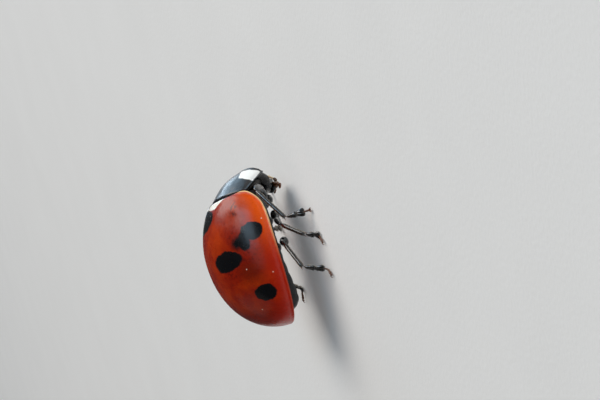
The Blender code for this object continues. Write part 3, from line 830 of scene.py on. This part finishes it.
def wing_case(name, side):
    """One wing case: the domed skin, its beaded edge, the band turned under it, and the inner skin."""
    along = np.sin(math.pi / 2 * np.arange(CASE_COLUMNS + 1) / CASE_COLUMNS)
    along[-1] = 1 - 1e-7
    along = np.unique(np.concatenate([along, NEAR_BASE]))
    near_rim = math.pi / 2 - np.array(NEAR_RIM) / DOME_RISE
    angles = np.concatenate([np.linspace(0, math.pi / 2, CASE_ROWS), NEAR_SUTURE, near_rim])
    s, angle = np.meshgrid(along, np.unique(angles), indexing="ij")
    front = base_edge(angle)
    x = front + (APEX_X - front) * s
    outer = dome_point(x, angle)
    to_base = path_distance(outer, outer[0])
    faded = RIM_FADE * (1 - smooth_step(*SHOULDER_ANGLES, angle))
    to_rim = np.minimum(path_distance(outer, outer[:, -1]), to_base + faded)
    outer = raised(outer, np.array((0.0, 0.0, MARGIN_Z)), case_relief(x, angle, to_rim, to_base))
    inset = CASE_SHELL + (BASE_FLANGE[0] - CASE_SHELL) * hump((front - APEX_X) * s, BASE_FLANGE[1])
    inner_front = front - 0.02
    inner = dome_point(inner_front + (APEX_X + inset - inner_front) * s, angle, inset)[:, ::-1]
    edge = outer[:, -1]
    size = dome_share(edge[:, 0], PLAN_REACH)
    thickness = RIM * size * smooth_step(-0.01, 0.06, along)
    width = EPIPLEURON_WIDTH * np.minimum(1.0, size * 1.25)
    turns = np.radians(RIM_TURNS)
    under = [(thickness * (1 - np.cos(turn)), thickness * np.sin(turn)) for turn in turns]
    for share in EPIPLEURON_SHARES:
        under.append((thickness + width * share, 0.6 * thickness * (1 - share) + 0.04 * share * size))
    bead = [np.stack([edge[:, 0], edge[:, 1] - inward, edge[:, 2] - down], axis=-1) for inward, down in under]
    bead = np.stack(bead, axis=1)
    rings = np.concatenate([outer, bead, inner], axis=1)
    rings[..., 1] = side * (np.maximum(rings[..., 1], 0.0) + CASE_GAP)
    rings[..., 0] = np.maximum(rings[..., 0], APEX_X)
    under_marks = np.broadcast_to(UNDER_MARKS, bead.shape[:2])
    to_edge = np.concatenate([to_rim, under_marks, np.ones(inner.shape[:2])], axis=1)
    marks = np.stack([to_edge, np.broadcast_to(along[:, None], to_edge.shape)], axis=-1)
    shape = plate_shape(rings, marks, outer.shape[1], 1)
    piece, node = "wing_case_" + name, "elytron_" + name
    new_piece(piece, shape, ["wing_case_red"], "wing_case", [node], sharp=SHELL_SHARP, mark_layer="edge")


def scutellum():
    """A small three-cornered plate with a softly rounded top, between the wing-case bases."""
    front, rear = BASE_X + 0.02, BASE_X - SCUTELLUM_LENGTH + 0.05
    corners = np.array([(front, -1), (front, 1), (rear, 0)]) * (1, SCUTELLUM_HALF_WIDTH - 0.015)
    shares = np.linspace(0, 1, 12, endpoint=False)[:, None]
    outline = [start + (end - start) * shares for start, end in zip(corners, np.roll(corners, -1, axis=0))]
    outline = np.concatenate(outline)
    centre = outline.mean(axis=0)
    rings = []
    for inset, drop in ((0.0, 0.30), (0.0, 0.06), (0.012, 0.020), (0.040, 0.004), (0.10, 0.0)):
        ring = centre + (outline - centre) * (1 - inset / 0.2)
        height = dome_point(ring[:, 0], 0 * ring[:, 0])[:, 2] - 0.008 - drop
        rings.append(np.column_stack([ring, height]))
    new_piece("scutellum_plate", Shape(rings), ["scutellum_black"], "black_shell", ["scutellum"], sharp=50)


# ---------------- pronotum

PRONOTUM_CORNER = (0.05, 1.24, 0.36)  # how much fuller the front corners are, at which angle, how wide
CORNER_DROP = (0.10, 0.84, 0.14, 0.35)  # how far the corners hang, at which share, how long and how wide
PLATE_COLUMNS = 56
NEAR_ENDS = (0.004, 0.010, 0.990, 0.996)  # more columns, as shares of the length
PLATE_ROWS = 96
NEAR_SIDES = (-1.55, 1.55, -1.50, 1.50)  # more rows, as angles
PLATE_LENGTH = 1.75
PLATE_RADIUS = 1.5
PLATE_LIP = 0.10
PLATE_MIDDLE = (2.2, 0.0, 1.5)
FRONT_NOTCH = 0.05  # how far the middle of the front edge is drawn back, as a share of the plate's length
FRONT_ANGLES = (1.15, 1.45)  # between these, the front groove fades out
SIDE_RIDGES = ((0.02, 0.05, 0.022), (0.15, 0.07, -0.018))
REAR_RIDGES = ((0.0, 0.03, -0.035), (0.09, 0.05, 0.008))
FRONT_GROOVE = ((0.0, 0.035, -0.045),)
FRONT_RIDGE = ((0.09, 0.05, 0.012),)


def pronotum_size(name, share):
    """A size of the pronotum's section, at a share of the way from its base to its front."""
    base = np.asarray(PRONOTUM_BASE[name])
    return base + (np.asarray(PRONOTUM_FRONT[name]) - base) * np.asarray(share, float)[..., None]


def pronotum_point(share, angle, inset=0.0):
    share, angle = np.asarray(share, float), np.asarray(angle, float)
    swell = np.sin(math.pi * np.clip(share, 0, 1))
    lift = PRONOTUM_SWELL * swell - inset
    top = pronotum_size("top", share) + lift[..., None] * (math.sin(PRONOTUM_SLOPE), math.cos(PRONOTUM_SLOPE))
    foot = pronotum_size("foot", share)
    half_width = pronotum_size("half_width", share)[..., 0] + PRONOTUM_SIDE_SWELL * swell - inset
    sin, cos = np.sin(angle), np.cos(angle)
    base_plane = PRONOTUM_BASE["foot"][0] + (PRONOTUM_BASE["top"][0] - PRONOTUM_BASE["foot"][0]) * cos
    fullness, corner, width = PRONOTUM_CORNER
    brow = PRONOTUM_BROW * share**2 * sin**2 * np.abs(cos)
    brow = brow + fullness * share**3 * hump(np.abs(angle) - corner, width)
    section = foot + (top - foot) * cos[..., None]
    drop, place, length, width = CORNER_DROP
    drop = drop * hump(share - place, length) * hump(np.abs(angle) - math.pi / 2, width)
    x = np.maximum(section[..., 0], base_plane) + brow
    return np.stack([x, half_width * sin, section[..., 1] - drop], axis=-1)


def pronotum():
    """The arched plate, with beaded side edges and a front edge that is hollowed round the head."""
    shares = np.unique(np.concatenate([np.linspace(0, 1, PLATE_COLUMNS), NEAR_ENDS]))
    half = math.pi / 2
    angles = np.unique(np.concatenate([np.linspace(-half, half, PLATE_ROWS), NEAR_SIDES]))
    share, angle = np.meshgrid(shares, angles, indexing="ij")
    reach = 1 - FRONT_NOTCH * np.maximum(np.cos(angle), 0.0) ** 1.2 * smooth_step(0.35, 1.0, share)
    over = pronotum_point(share * reach, angle)
    to_front = (1 - share) * PLATE_LENGTH
    to_side = (half - np.abs(angle)) * PLATE_RADIUS
    relief = ridges(to_side, SIDE_RIDGES) + ridges(share * PLATE_LENGTH, REAR_RIDGES)
    groove = ridges(to_front, FRONT_GROOVE) * (1 - smooth_step(*FRONT_ANGLES, np.abs(angle)))
    over = raised(over, np.array(PLATE_MIDDLE), relief + groove + ridges(to_front, FRONT_RIDGE))
    under = pronotum_point(0.01 + share * reach * 0.975, angle * 0.995, PLATE_LIP)
    deep = pronotum_point(0.02 + share * reach * 0.93, angle * 0.97, PRONOTUM_THICKNESS)
    rings = np.concatenate([over, under[:, -1:], deep[:, ::-1], under[:, :1]], axis=1)
    marks = np.stack([share, np.abs(angle) / half], axis=-1)
    marks = np.concatenate([marks, marks[:, :1], marks[:, ::-1], marks[:, :1]], axis=1)
    shape = plate_shape(rings, marks, over.shape[1], 2)
    look = {"sharp": SHELL_SHARP, "mark_layer": "plate"}
    new_piece("pronotum_plate", shape, ["pronotum_black"], "black_shell", ["pronotum"], **look)


# ---------------- trunk

TRUNK_SIDES = 96
TRUNK_ANGLES = TURN * (np.arange(TRUNK_SIDES) + 0.5) / TRUNK_SIDES
TRUNK_INSET = 0.47
TAIL_X = APEX_X + TRUNK_INSET
PLATE_SHARES = (0.0, 0.06, 0.2, 0.4, 0.6, 0.8, 0.92, 0.98, 1.0)
TAIL_SHARES = (0.15, 0.35, 0.55, 0.72, 0.86, 0.95, 0.99)
# Grooves between the chest's plates, and a swelling at the hips
MIDDLE_GROOVE = ((0.0, 0.03, -0.030),)
FRONT_SUTURE = ((0.0, 0.035, -0.045),)
SIDE_SUTURE = ((0.0, 0.03, -0.045),)
REAR_SUTURE = ((0.0, 0.035, -0.040),)
HIP_SWELL = ((0.55, 0.4, 0.03),)


def trunk_ring(x, belly):
    cos = np.cos(TRUNK_ANGLES)
    half_width = (HALF_WIDTH - TRUNK_INSET) * dome_share(x, PLAN_REACH)
    rise = (DOME_RISE - TRUNK_INSET) * dome_share(x, PROFILE_REACH)
    heights = margin_height(x) + np.where(cos > 0, rise, belly) * cos
    return np.column_stack([np.full(TRUNK_SIDES, x), half_width * np.sin(TRUNK_ANGLES), heights])


def chest_relief(points):
    """Sutures between the chest's plates, on its underside, in millimetres of height."""
    x, y, z = points[..., 0], np.abs(points[..., 1]), points[..., 2]
    relief = ridges(y, MIDDLE_GROOVE) + ridges(x - (1.28 + 0.10 * y), FRONT_SUTURE)
    relief = relief + ridges(y - (1.30 + 0.12 * (x - 0.4)), SIDE_SUTURE)
    relief = relief + ridges(x - (0.02 + 0.05 * y), REAR_SUTURE)
    relief = relief + ridges(y, HIP_SWELL) * smooth_step(1.2, 0.9, x)
    return relief * smooth_step(1.62, 1.35, z)


def chest():
    """The breast from the waist to the neck, deeper towards its front."""
    xs = np.linspace(WAIST_X + 0.005, THORAX_FRONT_X, 72)
    rings = np.stack([trunk_ring(x, BELLY_DEPTH + CHEST_DEEPENING * max(0.0, x - CHEST_DEEP_X)) for x in xs])
    away = unit(rings - rings.mean(axis=1, keepdims=True))
    shape = Shape(rings + away * chest_relief(rings)[..., None])
    new_piece("chest", shape, ["belly_black"], "belly", ["thorax"], sharp=50)


def belly_depth(x):
    part = (WAIST_X - x) / (WAIST_X - TAIL_X)
    return (BELLY_DEPTH + TAIL_SAG * part**2) * math.sqrt(max(0.0, 1.0 - part**5))


def belly():
    """The abdomen: each plate's rear edge overhangs the next in a fine step."""
    rings = []
    starts = (WAIST_X - 0.005, *SEGMENT_ENDS)
    for start, end in zip(starts, SEGMENT_ENDS):
        for share in PLATE_SHARES:
            x = start + (end - start) * share
            step = 0.030 if share in (0.0, 1.0) else 0.0
            swell = 0.028 * math.sin(math.pi * min(1.0, share * 1.04)) - step
            rings.append(trunk_ring(x, belly_depth(x) + swell))
    for share in TAIL_SHARES:
        x = SEGMENT_ENDS[-1] + (TAIL_X - SEGMENT_ENDS[-1]) * share
        rings.append(trunk_ring(x, max(belly_depth(x), 0.02)))
    new_piece("belly_plates", Shape(rings), ["belly_black"], "belly", ["abdomen"], sharp=30)


def neck():
    """The core of the first body ring, under the pronotum."""
    rings = []
    inset = PRONOTUM_THICKNESS + 0.02
    low = np.cos(TRUNK_ANGLES) < 0
    for share in np.linspace(0.0, PROTHORAX_SHARE + 0.06, 14):
        ring = pronotum_point(share, TRUNK_ANGLES, inset)
        foot = pronotum_point(share, math.pi / 2, inset)
        ring[low, 0] = foot[0]
        ring[low, 2] = foot[2] + (foot[2] - PROSTERNUM_Z) * np.cos(TRUNK_ANGLES[low])
        rings.append(ring)
    new_piece("neck_core", Shape(rings), ["belly_black"], "belly", ["prothorax"], sharp=50)


# ---------------- head

BOW = Matrix.Rotation(HEAD_BOW, 3, "Y")
FACET_DETAIL = 4
FACET_DEPTH = 0.010


def on_head(places, side=1):
    """Places on the bowed head, in the model's frame."""
    return np.asarray(places, float) * (1, side, 1) @ np.array(BOW).T + np.array(HEAD_CENTRE)


def skull_shape(local):
    """The skull from an ellipsoid: a flatter face, brows round the eyes, and a shelf over the mouth."""
    x, y, z = np.moveaxis(local, -1, 0)
    front = smooth_step(0.0, 0.25, x)
    flatter = 0.10 * front * hump(np.hypot(y, z - 0.05), 0.34)
    shelf = 0.10 * front * hump(z + 0.36, 0.12) * smooth_step(0.62, 0.40, np.abs(y))
    groove = 0.030 * front * hump(z + 0.21, 0.035) * smooth_step(0.58, 0.42, np.abs(y))
    x = x * (1 - flatter) + shelf - groove
    from_eye = (np.stack([x, np.abs(y), z], axis=-1) - EYE_PLACE) / np.array(EYE_HALF)
    swell = 1 + 0.030 * hump(np.abs(np.linalg.norm(from_eye, axis=-1) - 1.12), 0.14)
    return np.stack([x, y, z], axis=-1) * swell[..., None]


def skull():
    shape = Shape(ball(HEAD_CENTRE, HEAD_HALF, BOW, 72, 110, skull_shape))
    new_piece("head_capsule", shape, ["head_black"], "black_shell", ["head"])


def eye(name, side):
    """A compound eye: a ball of domed six-sided facets."""
    cells = bmesh.new()
    bmesh.ops.create_icosphere(cells, subdivisions=FACET_DETAIL, radius=1.0)
    points, faces = [], []
    half = np.array(EYE_HALF)
    lift = FACET_DEPTH / half.min()
    for vert in cells.verts:
        centre = np.array(vert.co.normalized())
        around = [np.array(face.calc_center_median().normalized()) for face in vert.link_faces]
        side_axis = unit(np.cross(centre, (0.3, 0.5, 0.81)))
        other_axis = np.cross(centre, side_axis)
        around.sort(key=lambda c: math.atan2(np.dot(c, other_axis), np.dot(c, side_axis)))
        start, sides = len(points), len(around)
        for shrink, share in ((1.0, 0.0), (0.72, 0.7)):
            points.extend((centre + (c - centre) * shrink) * half * (1 + share * lift) for c in around)
        points.append(centre * half * (1 + lift))
        for i in range(sides):
            j = (i + 1) % sides
            faces.append((start + i, start + j, start + sides + j, start + sides + i))
            faces.append((start + sides + i, start + sides + j, start + 2 * sides))
    cells.free()
    shape = Shape()
    shape.add(on_head(np.array(points) + np.array(EYE_PLACE) * (1, side, 1)), faces)
    new_piece(name + "_facets", shape, ["eye_dark"], "eye", [name], weld=1e-3)


# Share of the feeler's length at which each joint ends, and its greatest half width
ANTENNA_JOINTS = (
    (0.14, 0.072), (0.22, 0.056), (0.32, 0.040), (0.39, 0.038), (0.46, 0.037), (0.53, 0.038),
    (0.60, 0.040), (0.68, 0.048), (0.78, 0.074), (0.89, 0.090), (1.0, 0.078),
)
CLUB_START = 8
# A joint's profile, as shares of its length and of its greatest half width
JOINT_PROFILE = ((0, 0.62), (0.35, 0.86), (0.75, 1), (1, 0.80))
PALP_PATH = ((0.26, 0.24, -0.46), (0.20, 0.56, -0.67), (0.14, 0.72, -0.72))
PALP_JOINTS = ((0.22, 0.050), (0.52, 0.062), (0.68, 0.060))
BLADE_WIDE = ((0, 0.050), (0.3, 0.072), (0.75, 0.118), (0.92, 0.122), (1, 0.09))
BLADE_DEEP = ((0, 0.05), (0.3, 0.060), (0.75, 0.052), (1, 0.030))
JAW_PATH = ((0.14, 0.30, -0.50), (0.26, 0.24, -0.58), (0.31, 0.12, -0.62), (0.29, 0.02, -0.63))
JAW_PROFILE = ((0, 0.11), (0.4, 0.10), (0.8, 0.055), (1, 0.012))
LOBE_PATH = ((0.10, 0.16, -0.60), (0.22, 0.13, -0.66), (0.30, 0.12, -0.65))
LOBE_PROFILE = ((0, 0.05), (1, 0.028))
MOUTH_AREA = (0.02, 0.90, 0.1, 0.08)
LIP_TILT = math.radians(48)
# Rounded parts of the mouth: place on the head, half sizes
LIP = ((0.30, 0, -0.49), (0.13, 0.29, 0.055))
CHEEK = ((0.04, 0.24, -0.56), (0.14, 0.10, 0.08))
CHIN = ((0.05, 0, -0.60), (0.16, 0.15, 0.07))
PLAIN = ((0, 1), (1, 1))  # the profile of a limb that only guides others


def scaled(profile, size):
    """A profile with its half sizes multiplied."""
    return tuple((share, half * size) for share, half in profile)


def joints_along(shape, guide, joints, flatten):
    """A row of small joints along a guiding limb, each widest near its far end."""
    limbs, start = [], 0.0
    for number, (end, radius) in enumerate(joints):
        path = guide.stretch(start, min(end + 0.012, 1.0), 4)
        wide = scaled(JOINT_PROFILE, radius)
        limb = Limb(path, wide, scaled(wide, flatten))
        shape.rings(limb.rings(16, 6, 5), 1 if number >= CLUB_START else 0)
        limbs.append(limb)
        start = end
    return limbs


def antenna(name, side, area):
    shape = Shape()
    guide = Limb(on_head(ANTENNA_PATH, side), PLAIN)
    for number, limb in enumerate(joints_along(shape, guide, ANTENNA_JOINTS, 0.85)):
        grow("feeler_club" if number >= CLUB_START else "feeler", limb, area)
    new_piece(name + "_joints", shape, ["feeler_brown", "feeler_club"], "feeler", [name])


def palp(name, side, area):
    """A jaw feeler, whose last joint is a flat hatchet."""
    shape = Shape()
    guide = Limb(on_head(PALP_PATH, side), PLAIN)
    limbs = joints_along(shape, guide, PALP_JOINTS, 0.9)
    blade = Limb(guide.stretch(0.66, 1.0, 4), BLADE_WIDE, BLADE_DEEP, (0.4, 0.2, 1), 2.4, 0.04)
    shape.rings(blade.rings(22, 8, 5))
    for limb in (*limbs, blade):
        grow("palp", limb, area)
    new_piece(name + "_joints", shape, ["palp_brown"], "feeler", [name])


def lip_shape(local):
    """The upper lip, notched in the middle of its front edge."""
    x, y, z = np.moveaxis(local, -1, 0)
    return np.stack([x - 0.05 * hump(y, 0.08) * smooth_step(0.0, 0.06, x), y, z], axis=-1)


def mouthparts():
    """Upper lip, the two jaws, and the smaller parts under them."""
    tilt = Matrix.Rotation(HEAD_BOW + LIP_TILT, 3, "Y")
    shape = Shape(ball(on_head(LIP[0]), LIP[1], tilt, 26, 40, lip_shape))
    for side in (-1, 1):
        jaw = Limb(on_head(JAW_PATH, side), JAW_PROFILE, cap=0.02)
        shape.rings(jaw.rings(18, 12, 4), 1)
        shape.rings(ball(on_head(CHEEK[0], side), CHEEK[1], BOW, 16, 22))
        lobe = Limb(on_head(LOBE_PATH, side), LOBE_PROFILE)
        shape.rings(lobe.rings(14, 6, 4), 2)
        grow("mouth", lobe, MOUTH_AREA)
    shape.rings(ball(on_head(CHIN[0]), CHIN[1], BOW, 16, 26))
    finishes = ["head_black", "claw_brown", "palp_brown"]
    new_piece("mouth_joined", shape, finishes, "black_shell", ["mouthparts"])


# ---------------- legs

HIP_HALF = (0.34, 0.205, 0.18)
RING_REACH = (0.30, 0.44, 0.60)  # from the hip's middle, along the leg
THIGH_REACH = 0.46
RING_PROFILE = ((0, 0.08), (0.5, 0.105), (1, 0.085))  # of the small ring between hip and thigh
THIGH_WIDE = ((0, 0.08), (0.12, 0.100), (0.40, 0.120), (0.70, 0.108), (0.92, 0.085), (1, 0.070))
THIGH_DEEP = ((0, 0.09), (0.12, 0.135), (0.40, 0.170), (0.70, 0.152), (0.92, 0.105), (1, 0.085))
THIGH_SIZE = {"front": 1.22, "middle": 0.85, "hind": 0.80}
THIGH_BOW = {"front": (0.25, 0.0, -0.02), "middle": (0.0, 0.0, 0.05), "hind": (0.0, 0.0, 0.05)}
SHIN_WIDE = ((0, 0.056), (0.10, 0.074), (0.45, 0.074), (0.80, 0.078), (1, 0.080))
SHIN_DEEP = ((0, 0.055), (0.10, 0.076), (0.45, 0.082), (0.80, 0.094), (1, 0.100))
SHIN_BOW = 0.035
SPUR_PROFILE = ((0, 0.018), (0.6, 0.012), (1, 0.003))
# Shares of the foot's length, and half sizes, of its first joint, its two pads and its claw joint
FIRST_JOINT = (0.06, 0.38)
FIRST_WIDE = ((0, 0.055), (0.4, 0.085), (0.8, 0.125), (1, 0.11))
FIRST_DEEP = ((0, 0.055), (0.6, 0.070), (1, 0.055))
SECOND_JOINT = (0.35, 0.60)
PAD_SPREAD = (0.02, 0.05, 0.075, 0.085)
PAD_WIDE = ((0, 0.05), (0.4, 0.080), (0.8, 0.088), (1, 0.06))
PAD_DEEP = ((0, 0.05), (0.5, 0.060), (1, 0.035))
CLAW_JOINT = (0.55, 0.90)
CLAW_JOINT_PROFILE = ((0, 0.032), (0.6, 0.042), (0.9, 0.052), (1, 0.045))
CLAW_LIFT = np.array((0, 0, 0.01))
CLAW_REACH = 0.17
# A claw and its tooth: places as (share of the reach, out to the side, up), profile, sides and rings
CLAW_PARTS = (
    (
        ((-0.1, 0.015, 0.0), (0.30, 0.050, 0.022), (0.62, 0.078, 0.0), (0.80, 0.090, -0.055)),
        ((0, 0.024), (0.4, 0.021), (0.8, 0.012), (1, 0.004)),
        (12, 12, 4),
    ),
    (
        ((0.15, 0.030, 0.0), (0.32, 0.036, -0.030), (0.42, 0.040, -0.062)),
        ((0, 0.020), (0.6, 0.014), (1, 0.004)),
        (10, 6, 4),
    ),
)
FOOT_Z = (0.105, 0.090, 0.105)  # heights of the foot's middle from where it lands to its toe
LEG_FINISHES = ["leg_black", "claw_brown"]


def foot_path(ankle, toe, landing_share):
    """From the ankle down to the floor and along it to the claws."""
    landing = ankle + (toe - ankle) * landing_share
    landing[2] = FOOT_Z[0]
    path = np.array([ankle, ankle * 0.45 + landing * 0.55, landing, toe * 0.5 + landing * 0.5, toe])
    path[2:, 2] = FOOT_Z
    return path


def foot(suffix, ankle, toe, landing_share, area):
    """The foot: a lobed first joint, a two-lobed second, the slim claw joint and a pair of toothed claws."""
    guide = Limb(foot_path(ankle, toe, landing_share), PLAIN)
    first = Limb(guide.stretch(*FIRST_JOINT, 5), FIRST_WIDE, FIRST_DEEP)
    shape = Shape(first.rings(24, 10, 6))
    across = guide.axes(np.array([0.5]))[1][0]
    for lean in (-1, 1):
        path = guide.stretch(*SECOND_JOINT, 4) + np.outer(PAD_SPREAD, across) * lean
        pad = Limb(path, PAD_WIDE, PAD_DEEP)
        shape.rings(pad.rings(18, 9, 6))
        grow("pad", pad, area)
    claw_joint = Limb(guide.stretch(*CLAW_JOINT, 5) + CLAW_LIFT, CLAW_JOINT_PROFILE)
    shape.rings(claw_joint.rings(16, 10, 5), 1)
    tip = guide.centre(np.array([CLAW_JOINT[1]]))[0] + CLAW_LIFT
    forward = guide.axes(np.array([0.9]))[0][0]
    for lean in (-1, 1):
        for places, profile, rings in CLAW_PARTS:
            way = np.array((forward * CLAW_REACH, across * lean, (0, 0, 1)))
            shape.rings(Limb(tip + np.array(places) @ way, profile, cap=0.006).rings(*rings), 1)
    grow("foot", first, area)
    grow("claw_joint", claw_joint, area)
    new_piece("foot" + suffix, shape, LEG_FINISHES, "leg", ["tarsus" + suffix])


def hip_shape(local):
    """The hip's ball, slimmer towards the thigh."""
    slim = 1 - 0.22 * smooth_step(0.0, 0.35, local[..., 0])
    return np.stack([local[..., 0], local[..., 1] * slim, local[..., 2] * slim], axis=-1)


def leg(pair, side_name, side, area):
    """Hip, thigh, shin and foot, with the hairs that grow on them."""
    suffix = f"_{pair}_{side_name}"
    knee, ankle, toe, landing_share = STANCE[side_name][pair]
    places = np.array([(*HIPS[pair], HIP_Z), knee, ankle, (*toe, TOE_Z)])
    hip, knee, ankle, toe = places * (1, side, 1)
    out = unit(knee - hip)
    turn = Matrix.Rotation(math.atan2(out[1], out[0]), 3, "Z")
    ring = Limb([hip + out * reach for reach in RING_REACH], RING_PROFILE)
    shape = Shape(ball(hip, HIP_HALF, turn, 30, 40, hip_shape), ring.rings(20, 8, 6))
    new_piece("hip" + suffix, shape, LEG_FINISHES, "leg", ["coxa" + suffix])

    start = hip + out * THIGH_REACH
    bow = np.array(THIGH_BOW[pair])
    path = [start, start * 0.6 + knee * 0.4 + bow, start * 0.25 + knee * 0.75 + bow * 0.8, knee]
    down = unit(ankle - knee)
    fold = unit(np.cross(np.cross(out, down), out))
    wide, deep = (scaled(profile, THIGH_SIZE[pair]) for profile in (THIGH_WIDE, THIGH_DEEP))
    thigh = Limb(path, wide, deep, up=-fold)
    new_piece("thigh" + suffix, Shape(thigh.rings(30, 26, 7)), LEG_FINISHES, "leg", ["femur" + suffix])

    across = unit(np.cross(down, out))
    bend = unit(np.cross(across, down))
    bow = bend * SHIN_BOW
    path = [knee, knee * 0.7 + ankle * 0.3 + bow, knee * 0.35 + ankle * 0.65 + bow, ankle]
    shin = Limb(path, SHIN_WIDE, SHIN_DEEP, up=bend, square=2.7)
    shape = Shape(shin.rings(24, 26, 6))
    for lean in (-1, 1):
        root = ankle - down * 0.03 + across * 0.045 * lean - bend * 0.03
        tip = root + down * 0.13 + across * 0.03 * lean - bend * 0.045
        spur = Limb([root, (root + tip) / 2, tip], SPUR_PROFILE, cap=0.005)
        shape.rings(spur.rings(10, 6, 4), 1)
    new_piece("shin" + suffix, shape, LEG_FINISHES, "leg", ["tibia" + suffix])

    grow("thigh", thigh, area)
    grow("shin", shin, area)
    foot(suffix, ankle, toe, landing_share, area)


# ---------------- stage, light, camera

CAMERA_AZIMUTH = math.radians(-6.21)
CAMERA_ELEVATION = math.radians(11.82)
CAMERA_ROLL = math.radians(106.74)
CAMERA_DISTANCE = 100.0
FIELD_WIDTH = 24.43  # of the plane through the anchor, in millimetres
ANCHOR = Vector((0.0, 0.0, 1.55))
AIM_SHIFT = (1.369, 1.791)  # right and up from the anchor to the picture's middle
SENSOR = 36.0
LIGHT_DISTANCE = 430.0
FLOOR_REACH = 3.0  # in metres
# Lamps: azimuth and elevation in degrees, width and height in millimetres, brightness, colour
LAMPS = {
    "key_box": (-8, 42, 570, 195, 4.9, (1.0, 0.95, 0.90)),
    "sky_box": (-64, 33, 200, 150, 3.9, (0.54, 0.78, 1.0)),
    "front_box": (24, 14, 570, 190, 1.65, (0.55, 0.79, 1.0)),
    "edge_box": (58, 6, 55, 150, 4.2, (0.72, 0.86, 1.0)),
    "side_box": (-88, 30, 260, 160, 0.6, (1.0, 0.95, 0.88)),
    "back_box": (165, 40, 400, 260, 0.22, (1.0, 0.98, 0.94)),
}


def place(name, data, axes=Matrix.Identity(3), where=Vector()):
    """An object with the given axes, put at a place in millimetres."""
    made = bpy.data.objects.new(name, data)
    bpy.context.scene.collection.objects.link(made)
    made.matrix_world = Matrix.Translation(where * MM) @ axes.to_4x4()
    return made


def direction(azimuth, elevation):
    """The way that points from +X round by that azimuth and up by that elevation."""
    level = math.cos(elevation)
    return Vector((level * math.cos(azimuth), level * math.sin(azimuth), math.sin(elevation)))


def camera():
    back = direction(CAMERA_AZIMUTH - math.pi / 2, CAMERA_ELEVATION)
    level = direction(CAMERA_AZIMUTH, 0.0)
    upright = back.cross(level)
    right = math.cos(CAMERA_ROLL) * level - math.sin(CAMERA_ROLL) * upright
    up = math.sin(CAMERA_ROLL) * level + math.cos(CAMERA_ROLL) * upright
    aim = ANCHOR + OFFSET + right * AIM_SHIFT[0] + up * AIM_SHIFT[1]
    data = bpy.data.cameras.new("camera")
    data.sensor_width = SENSOR
    data.lens = SENSOR * CAMERA_DISTANCE / FIELD_WIDTH
    data.clip_start = 0.5 * MM
    data.clip_end = 10.0
    axes = Matrix((right, up, back)).transposed()
    bpy.context.scene.camera = place("camera", data, axes, aim + back * CAMERA_DISTANCE)


def lights():
    """Soft boxes aimed at the model, and a faint even light from all round."""
    for name, (azimuth, elevation, width, height, brightness, colour) in LAMPS.items():
        data = bpy.data.lights.new(name, "AREA")
        data.shape = "RECTANGLE"
        data.size, data.size_y = width * MM, height * MM
        data.energy = brightness * math.pi * data.size * data.size_y
        data.color = colour
        way = direction(math.radians(azimuth), math.radians(elevation))
        place(name, data, way.to_track_quat("Z", "Y").to_matrix(), ANCHOR + way * LIGHT_DISTANCE)
    world = bpy.data.worlds.new("studio")
    world.use_nodes = True
    background = world.node_tree.nodes["Background"]
    background.inputs["Color"].default_value = (0.86, 0.89, 0.93, 1.0)
    background.inputs["Strength"].default_value = 0.07
    bpy.context.scene.world = world
    bpy.context.scene.view_settings.view_transform = "Standard"


def floor():
    """A wide pale floor, which glows faintly so that the shadows on it stay soft."""
    finish = Finish("floor_pale", Specular_IOR_Level=0.2, Emission_Strength=0.10)
    here = finish.places()
    cloud = finish.noise(here, 0.15, 3.0)
    finish.set(
        Base_Color=finish.paint((0.78, 0.77, 0.75), (cloud, 1, (0.82, 0.81, 0.79))),
        Roughness=finish.scale(cloud, 0.7, 0.8),
        Emission_Color=finish.paint((0.97, 0.96, 0.94), (cloud, 1, (1.0, 0.99, 0.97))),
        Normal=finish.relief((finish.noise(here, 5.0, 3.0), 0.010)),
    )
    mesh = bpy.data.meshes.new("floor")
    corners = [(x * FLOOR_REACH, y * FLOOR_REACH, 0) for x, y in ((-1, -1), (1, -1), (1, 1), (-1, 1))]
    mesh.from_pydata(corners, [], [(0, 1, 2, 3)])
    mesh.materials.append(finish.material)
    made = place("floor", mesh)


# ---------------- the whole model


def build():
    for side_name, side in SIDES:
        wing_case(side_name, side)
    scutellum()
    pronotum()
    chest()
    belly()
    neck()
    skull()
    for number, (side_name, side) in enumerate(SIDES):
        left = 0.02 + 0.5 * number  # of this side's half of the coats' unwrap
        area = (left, 0.02, 0.22, 0.10)
        eye("eye_" + side_name, side)
        antenna("antenna_" + side_name, side, area)
        palp("palp_" + side_name, side, area)
        for row, pair in enumerate(HIPS):
            leg(pair, side_name, side, (left, 0.15 + 0.25 * row, 0.44, 0.22))
    mouthparts()
    COATS["dark"].piece("leg_hairs", "hair_dark")
    COATS["pale"].piece("pad_hairs", "hair_pale")


make_finishes()
build()
floor()
lights()
camera()
